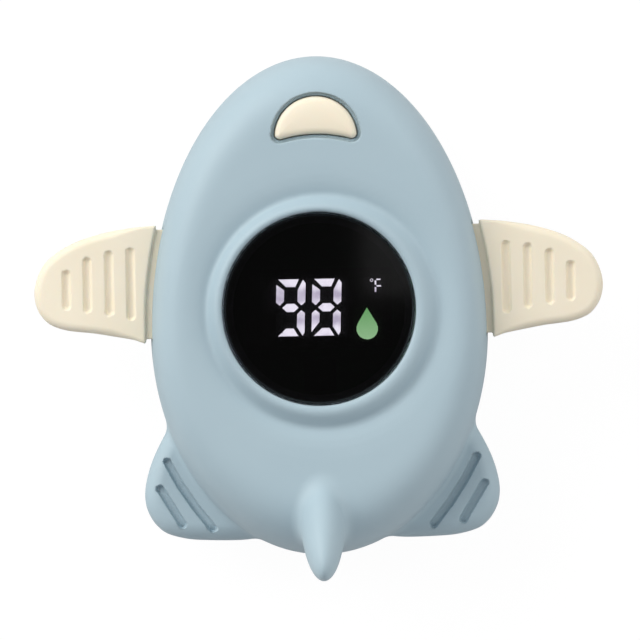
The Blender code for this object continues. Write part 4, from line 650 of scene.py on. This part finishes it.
def silicone_rubber():
    """Cream silicone rubber: a little light passes under its skin, matt from the mould, with
    a faint warm cloud in the colour."""
    material = new_material("silicone_rubber")
    cloud = noise_of(material, 9.0, 3.0)
    grain = noise_of(material, 0.3, 2.0)
    return finish(material, {
        "Base Color": mixed(material, cloud, "#f3e8d0", "#f7eedb"),
        "Roughness": spread_of(material, grain, 0.48, 0.6),
        "IOR": 1.41, "Subsurface Weight": 0.12, "Subsurface Radius": (1.2, 0.8, 0.45),
        "Subsurface Scale": MM, "Normal": bumped(material, grain, 0.006)})


cream_rubber = silicone_rubber()
WING_CELL = 0.36
WING_GRID = ((23.6, 55.0, 0.33), (-8.0, 18.0, WING_CELL), (14.6, 26.4, WING_CELL))
wing_points, wing_quads = sampled_surface(wing_field, [grid_axis(run) for run in WING_GRID])
wing_points, wing_normals = settled(wing_field, wing_points, wing_quads, WING_CELL)
mirror = np.array([-1.0, 1.0, 1.0])
for name, turn, quads in (
        ("right", 1.0, wing_quads), ("left", mirror, wing_quads[:, ::-1])):
    wing = quad_piece(f"{name}_wing", wing_points * turn, quads, wing_normals * turn)
    wing.data.materials.append(cream_rubber)
    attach(wing, "housing")
    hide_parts(f"wing_{name}")


# Mode button: half-moon cap of the same rubber in a well of the upper shell, held in by a
# flange under the shell and carried by a stem that presses the switch.
BUTTON_BASE_Z, FLANGE_TOP_Z, FLANGE_REACH = 29.1, 30.3, 1.3
STEM_RADIUS, STEM_Y, STEM_BASE_Z = 1.6, 36.5, 25.4
CAP_PROUD, CAP_CROWN, CROWN_RUN, CAP_EDGE, CAP_CELL = 0.1, 0.3, 3.2, 1.2, 0.25
CAP_GRID = ((-9.6, 9.6, CAP_CELL), (27.0, 42.6, CAP_CELL), (24.8, 35.4, CAP_CELL))


def button_field(x, y, z):
    """Cap that follows the body's top, crowned by 0.3 mm at its middle with a wide round
    edge, on its flange and stem."""
    plan = button_distance(x, y)
    crown = CAP_PROUD + CAP_CROWN * (1.0 - np.clip(1.0 + plan / CROWN_RUN, 0.0, 1.0) ** 2)
    cap = -smooth_union(-plan, crown - hull_field(x, y, z), CAP_EDGE)
    cap = np.maximum(cap, BUTTON_BASE_Z - z)
    flange = np.maximum(plan - FLANGE_REACH, np.maximum(BUTTON_BASE_Z - z, z - FLANGE_TOP_Z))
    stem = post_field(x, y, z, (0.0, STEM_Y), STEM_RADIUS, STEM_BASE_Z, FLANGE_TOP_Z)
    return np.minimum(np.minimum(cap, flange), stem)


button_skin = field_piece(
    "button_cap", button_field, [grid_axis(run) for run in CAP_GRID], CAP_CELL)
button_skin.data.materials.append(cream_rubber)
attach(button_skin, "button")
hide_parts("mode_button")


# Window: round lens of smoked acrylic, moulded flat with a fine chamfer and polished, and
# pressed into the bore of the ring on a thin seal.
LENS_RADIUS, LENS_BASE_Z, LENS_TOP_Z, LENS_CHAMFER, BASE_CHAMFER = 18.0, 32.3, 34.8, 0.4, 0.3
LENS_PROFILE = (
    (0.0, LENS_BASE_Z), (6.0, LENS_BASE_Z), (12.0, LENS_BASE_Z),
    (LENS_RADIUS - BASE_CHAMFER, LENS_BASE_Z), (LENS_RADIUS, LENS_BASE_Z + BASE_CHAMFER),
    (LENS_RADIUS, LENS_TOP_Z - LENS_CHAMFER), (LENS_RADIUS - LENS_CHAMFER, LENS_TOP_Z),
    (12.0, LENS_TOP_Z), (6.0, LENS_TOP_Z), (0.0, LENS_TOP_Z))
LENS_STEPS = 160


def turned_piece(name, profile, steps):
    """Solid turned about the upright axis: the profile's radius and height carried round, with
    its ends, which lie on the axis, each closed by quads that share one point."""
    radii, heights = np.array(profile).T
    turn = 2 * math.pi * np.arange(steps) / steps
    middle = len(radii) - 2
    body = np.stack([
        radii[1:-1, None] * np.cos(turn), radii[1:-1, None] * np.sin(turn),
        np.repeat(heights[1:-1, None], steps, 1)], 2).reshape(-1, 3)
    points = np.vstack([body, (0.0, 0.0, heights[0]), (0.0, 0.0, heights[-1])])
    here = np.arange(steps)
    there = (here + 1) % steps
    rows = np.arange(middle - 1)[:, None] * steps
    sides = np.stack([rows + here, rows + there, rows + steps + there, rows + steps + here], 2)
    low, high = middle * steps, middle * steps + 1
    last = (middle - 1) * steps
    even = here[::2]
    base = np.stack([np.full(len(even), low), (even + 2) % steps, even + 1, even], 1)
    top = np.stack([
        np.full(len(even), high), last + even, last + even + 1, last + (even + 2) % steps], 1)
    return quad_piece(name, points, np.concatenate([sides.reshape(-1, 4), base, top]))


def smoked_acrylic():
    """Polished acrylic with a dense smoke tint: mirror-smooth, with slow faint changes in its
    gloss as a wipe leaves them, and only the lit bars show through."""
    material = new_material("smoked_acrylic")
    wipe = noise_of(material, 6.0, 2.0)
    return finish(material, {
        "Base Color": linear("#5c5b5f"), "Roughness": spread_of(material, wipe, 0.015, 0.04),
        "IOR": 1.49, "Transmission Weight": 1.0})


lens = turned_piece("smoked_lens", LENS_PROFILE, LENS_STEPS)
lens.data.set_sharp_from_angle(angle=math.radians(30.0))
lens.data.materials.append(smoked_acrylic())
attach(lens, "housing")
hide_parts("display_lens")


# Lit display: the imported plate, whose raised bars are milky diffusers over white LEDs. Its
# plate is black, the lower left bar of the first digit is off, and the drop is green.
LIT_Z = (29.4, 31.0)
OFF_BAR = (((-8.6, -6.5), (-3.0, -0.15)), ((-8.6, -6.95), (-4.45, -2.99)))
DROP_X, DROP_Y = (6.6, 11.6), (-6.5, 0.6)
DIGIT_Y, BAR_RISE, STREAK_DEPTH, BAR_STRENGTH = 0.3, 4.6, 1.6, 8.6


def between(material, value, low, high):
    """1 where a coordinate in metres lies between two values in mm, otherwise 0."""
    above = add_node(material, "ShaderNodeMath", {"operation": "GREATER_THAN"})
    below = add_node(material, "ShaderNodeMath", {"operation": "LESS_THAN"})
    both = add_node(material, "ShaderNodeMath", {"operation": "MULTIPLY"}, {
        0: above.outputs[0], 1: below.outputs[0]})
    for node, limit in ((above, low), (below, high)):
        node.inputs[1].default_value = limit * MM
        material.node_tree.links.new(value, node.inputs[0])
    return both.outputs[0]


def area_mask(material, x_range, y_range):
    """1 inside a rectangle in plan, otherwise 0."""
    axes = add_node(material, "ShaderNodeSeparateXYZ", inputs={"Vector": place_in(material)})
    return add_node(material, "ShaderNodeMath", {"operation": "MULTIPLY"}, {
        0: between(material, axes.outputs["X"], *x_range),
        1: between(material, axes.outputs["Y"], *y_range)}).outputs[0]


def bar_glow(material, along):
    """Brightness from 0 to 1 that is highest at the level bars, whose LEDs lie behind them,
    and falls half way between them: a cosine of the height in the digit, with fine streaks."""
    wave = add_node(material, "ShaderNodeMath", {"operation": "MULTIPLY_ADD"}, {
        0: along, 1: 2 * math.pi / (BAR_RISE * MM), 2: -2 * math.pi * DIGIT_Y / BAR_RISE})
    crest = add_node(material, "ShaderNodeMath", {"operation": "COSINE"}, {0: wave.outputs[0]})
    cloud = spread_of(material, noise_of(material, 1.7, 1.0), -STREAK_DEPTH, STREAK_DEPTH)
    streak = add_node(material, "ShaderNodeMath", {"operation": "ADD"}, {
        0: crest.outputs[0], 1: cloud})
    return add_node(material, "ShaderNodeMapRange", inputs={
        "Value": streak.outputs[0], "From Min": -1.2, "From Max": 1.0}).outputs["Result"]


def led_diffuser():
    """Milky diffuser lit from behind: lilac-white bars that are brightest where their LEDs
    are, one of them off, and a green drop, brighter in its round part."""
    material = new_material("led_diffuser")
    axes = add_node(material, "ShaderNodeSeparateXYZ", inputs={"Vector": place_in(material)})
    fall = add_node(material, "ShaderNodeMapRange", inputs={
        "Value": axes.outputs["Y"], "From Min": DROP_Y[0] * MM, "From Max": DROP_Y[1] * MM})
    green = mixed(material, fall.outputs["Result"], "#9ac691", "#64a45f")
    glow = mixed(material, bar_glow(material, axes.outputs["Y"]), "#bfb7c7", "#faf6fc")
    glow = mixed(material, area_mask(material, DROP_X, DROP_Y), glow, green)
    for region in OFF_BAR:
        glow = mixed(material, area_mask(material, *region), glow, "#000000")
    lit = between(material, axes.outputs["Z"], *LIT_Z)
    return finish(material, {
        "Base Color": mixed(material, lit, "#0c0c0e", "#4c4c50"), "Roughness": 0.5,
        "Emission Color": mixed(material, lit, "#000000", glow),
        "Emission Strength": BAR_STRENGTH})


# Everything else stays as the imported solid: the door in the body's coat, seals, screws,
# board, switch and cells, each with the finish of its real material.
def matt_polycarbonate():
    """Black moulded plastic round the display, matt so that it sends no light back."""
    material = new_material("matt_polycarbonate")
    grain = noise_of(material, 0.3, 2.0)
    return finish(material, {
        "Base Color": mixed(material, noise_of(material, 5.0, 2.0), "#0f0f11", "#17171a"),
        "Roughness": spread_of(material, grain, 0.45, 0.62), "IOR": 1.58,
        "Normal": bumped(material, grain, 0.008)})


def grey_seal_rubber():
    """Soft grey silicone of the seals, dull with a little dust in the colour."""
    material = new_material("grey_seal_rubber")
    return finish(material, {
        "Base Color": mixed(material, noise_of(material, 3.0, 3.0), "#858a8e", "#949a9e"),
        "Roughness": spread_of(material, noise_of(material, 0.5, 2.0), 0.6, 0.78), "IOR": 1.41})


def glass_epoxy_board():
    """Green solder mask over the glass weave of a circuit board, whose threads are 0.5 mm
    apart and show faintly as a lattice."""
    material = new_material("glass_epoxy_board")
    weave = add_node(material, "ShaderNodeTexChecker", inputs={
        "Vector": place_in(material), "Scale": 2000.0, "Color1": linear("#1c6239"),
        "Color2": linear("#20693e")}).outputs["Color"]
    patch = mixed(material, noise_of(material, 4.0, 4.0), "#1a5f37", "#237043")
    return finish(material, {
        "Base Color": mixed(material, 0.5, weave, patch),
        "Roughness": spread_of(material, noise_of(material, 1.0, 2.0), 0.3, 0.45), "IOR": 1.5})


def bright_steel():
    """Zinc-plated and stainless steel: fine marks that break the highlight."""
    material = new_material("bright_steel")
    marks = noise_of(material, 0.25, 3.0)
    return finish(material, {
        "Base Color": mixed(material, noise_of(material, 2.0, 2.0), "#bcc0c4", "#cdd0d2"),
        "Metallic": 1.0, "Roughness": spread_of(material, marks, 0.2, 0.38),
        "Normal": bumped(material, marks, 0.004)})


def cell_sleeve():
    """Printed shrink sleeve of the cells: dark with one copper band at the nose's end, glossy
    with slight wrinkles."""
    material = new_material("cell_sleeve")
    band = area_mask(material, (-30.0, 30.0), (12.0, 30.0))
    ripple = noise_of(material, 1.6, 2.0)
    return finish(material, {
        "Base Color": mixed(material, band, "#27303c", "#a9683f"),
        "Roughness": spread_of(material, ripple, 0.22, 0.36), "IOR": 1.5,
        "Normal": bumped(material, ripple, 0.03)})


def vinyl_insulation(name, first, second):
    """Extruded vinyl round the leads, satin with slow changes in tone."""
    material = new_material(name)
    return finish(material, {
        "Base Color": mixed(material, noise_of(material, 2.0, 2.0), first, second),
        "Roughness": spread_of(material, noise_of(material, 0.4, 2.0), 0.35, 0.5), "IOR": 1.53})


finishes = {
    "soft_touch_blue": blue_coat,
    "cream_silicone": cream_rubber,
    "lit_segments": led_diffuser(),
    "black_plastic": matt_polycarbonate(),
    "grey_silicone": grey_seal_rubber(),
    "circuit_board": glass_epoxy_board(),
    "steel": bright_steel(),
    "cell_label": cell_sleeve(),
    "red_insulation": vinyl_insulation("red_vinyl", "#a82b26", "#b93a33"),
    "black_insulation": vinyl_insulation("black_vinyl", "#161617", "#222224"),
}
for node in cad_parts.values():
    for slot in node.material_slots:
        base = slot.material.name.split(".")[0] if slot.material else ""
        if base in finishes:
            slot.material = finishes[base]


# Table: pale board under the object that shows nearly white to the camera, since most of what
# the camera gets from it is a white glow, and that keeps a faint shadow.
FLOOR_REACH, PAPER_GLOW, GLOW_SHARE = 3000.0, 1.06, 0.9


def pale_board():
    """Satin white laminate with a faint fine grain, lit to the paper white of the photo."""
    material = new_material("pale_board")
    shader = add_node(material, "ShaderNodeBsdfPrincipled", inputs={
        "Base Color": mixed(material, noise_of(material, 30.0, 2.0), "#d4d4d4", "#d9d9d9"),
        "Roughness": 0.7})
    white = add_node(material, "ShaderNodeEmission", inputs={
        "Color": linear("#ffffff"), "Strength": PAPER_GLOW})
    path = add_node(material, "ShaderNodeLightPath")
    share = add_node(material, "ShaderNodeMath", {"operation": "MULTIPLY"}, {
        0: path.outputs["Is Camera Ray"], 1: GLOW_SHARE})
    blend = add_node(material, "ShaderNodeMixShader", inputs={
        0: share.outputs[0], 1: shader.outputs["BSDF"], 2: white.outputs["Emission"]})
    add_node(material, "ShaderNodeOutputMaterial", inputs={"Surface": blend.outputs["Shader"]})
    return material


floor_points = FLOOR_REACH * np.array([(-1, -1, 0), (1, -1, 0), (1, 1, 0), (-1, 1, 0)])
floor = quad_piece("floor", floor_points, np.array([[0, 1, 2, 3]]))
floor.data.materials.append(pale_board())


# Light: an even pale room that mirrors dimmer than it lights, one wide soft lamp from the
# upper left of the picture, a weak one from its right and a small dim window far above that
# shows as a faint glow in the lens.
ROOM_STRENGTH, MIRRORED_STRENGTH = 0.44, 0.07
LAMPS = (("key", 2.4, 52.0, 140.0, 32.0), ("fill", 0.95, 60.0, 22.0, 30.0))
WINDOW_SIZE, WINDOW_PLACE, WINDOW_ENERGY = (24.0, 34.0), (29.0, 24.0, 2935.0), 0.0007
world = bpy.data.worlds.new("room")
world.use_nodes = True
tree = world.node_tree
tree.nodes.clear()
room = tree.nodes.new("ShaderNodeBackground")
room.inputs["Color"].default_value = linear("#fbfcff")
room.inputs["Strength"].default_value = ROOM_STRENGTH
backdrop = tree.nodes.new("ShaderNodeBackground")
backdrop.inputs["Color"].default_value = linear("#ffffff")
dim = tree.nodes.new("ShaderNodeBackground")
dim.inputs["Strength"].default_value = MIRRORED_STRENGTH
path = tree.nodes.new("ShaderNodeLightPath")
glossy = tree.nodes.new("ShaderNodeMixShader")
seen = tree.nodes.new("ShaderNodeMixShader")
output = tree.nodes.new("ShaderNodeOutputWorld")
tree.links.new(path.outputs["Is Glossy Ray"], glossy.inputs[0])
tree.links.new(room.outputs[0], glossy.inputs[1])
tree.links.new(dim.outputs[0], glossy.inputs[2])
tree.links.new(path.outputs["Is Camera Ray"], seen.inputs[0])
tree.links.new(glossy.outputs[0], seen.inputs[1])
tree.links.new(backdrop.outputs[0], seen.inputs[2])
tree.links.new(seen.outputs[0], output.inputs["Surface"])
bpy.context.scene.world = world

for name, energy, spread, azimuth, height in LAMPS:
    lamp = bpy.data.lights.new(name, "SUN")
    lamp.energy, lamp.angle = energy, math.radians(spread)
    lamp.color = linear("#fffdf9")[:3]
    holder = bpy.data.objects.new(name, lamp)
    turn, lift = math.radians(azimuth), math.radians(height)
    towards = Vector((
        math.cos(turn) * math.cos(lift), math.sin(turn) * math.cos(lift), math.sin(lift)))
    holder.rotation_euler = towards.to_track_quat("Z", "Y").to_euler()
    bpy.context.scene.collection.objects.link(holder)

window = bpy.data.lights.new("window", "AREA")
window.shape, window.energy = "RECTANGLE", WINDOW_ENERGY
window.size, window.size_y = WINDOW_SIZE[0] * MM, WINDOW_SIZE[1] * MM
holder = bpy.data.objects.new("window", window)
holder.location = [value * MM for value in WINDOW_PLACE]
bpy.context.scene.collection.objects.link(holder)


# Camera: far above the object and looking straight down, turned by the photo's slight roll.
CAMERA_HEIGHT, FRAME_WIDTH, SUBJECT_Z, ROLL = 3000.0, 121.6, 17.0, math.radians(-1.1)
CAMERA_X, CAMERA_Y, SENSOR_WIDTH = 0.15, -2.11, 36.0
camera_data = bpy.data.cameras.new("camera")
camera_data.sensor_width = SENSOR_WIDTH
camera_data.lens = SENSOR_WIDTH * (CAMERA_HEIGHT - SUBJECT_Z) / FRAME_WIDTH
camera_data.clip_start, camera_data.clip_end = 0.05, 20.0
camera = bpy.data.objects.new("camera", camera_data)
camera.location = (CAMERA_X * MM, CAMERA_Y * MM, CAMERA_HEIGHT * MM)
camera.rotation_euler = (0.0, 0.0, ROLL)
bpy.context.scene.collection.objects.link(camera)
bpy.context.scene.camera = camera

bpy.context.scene.view_settings.view_transform = "Standard"
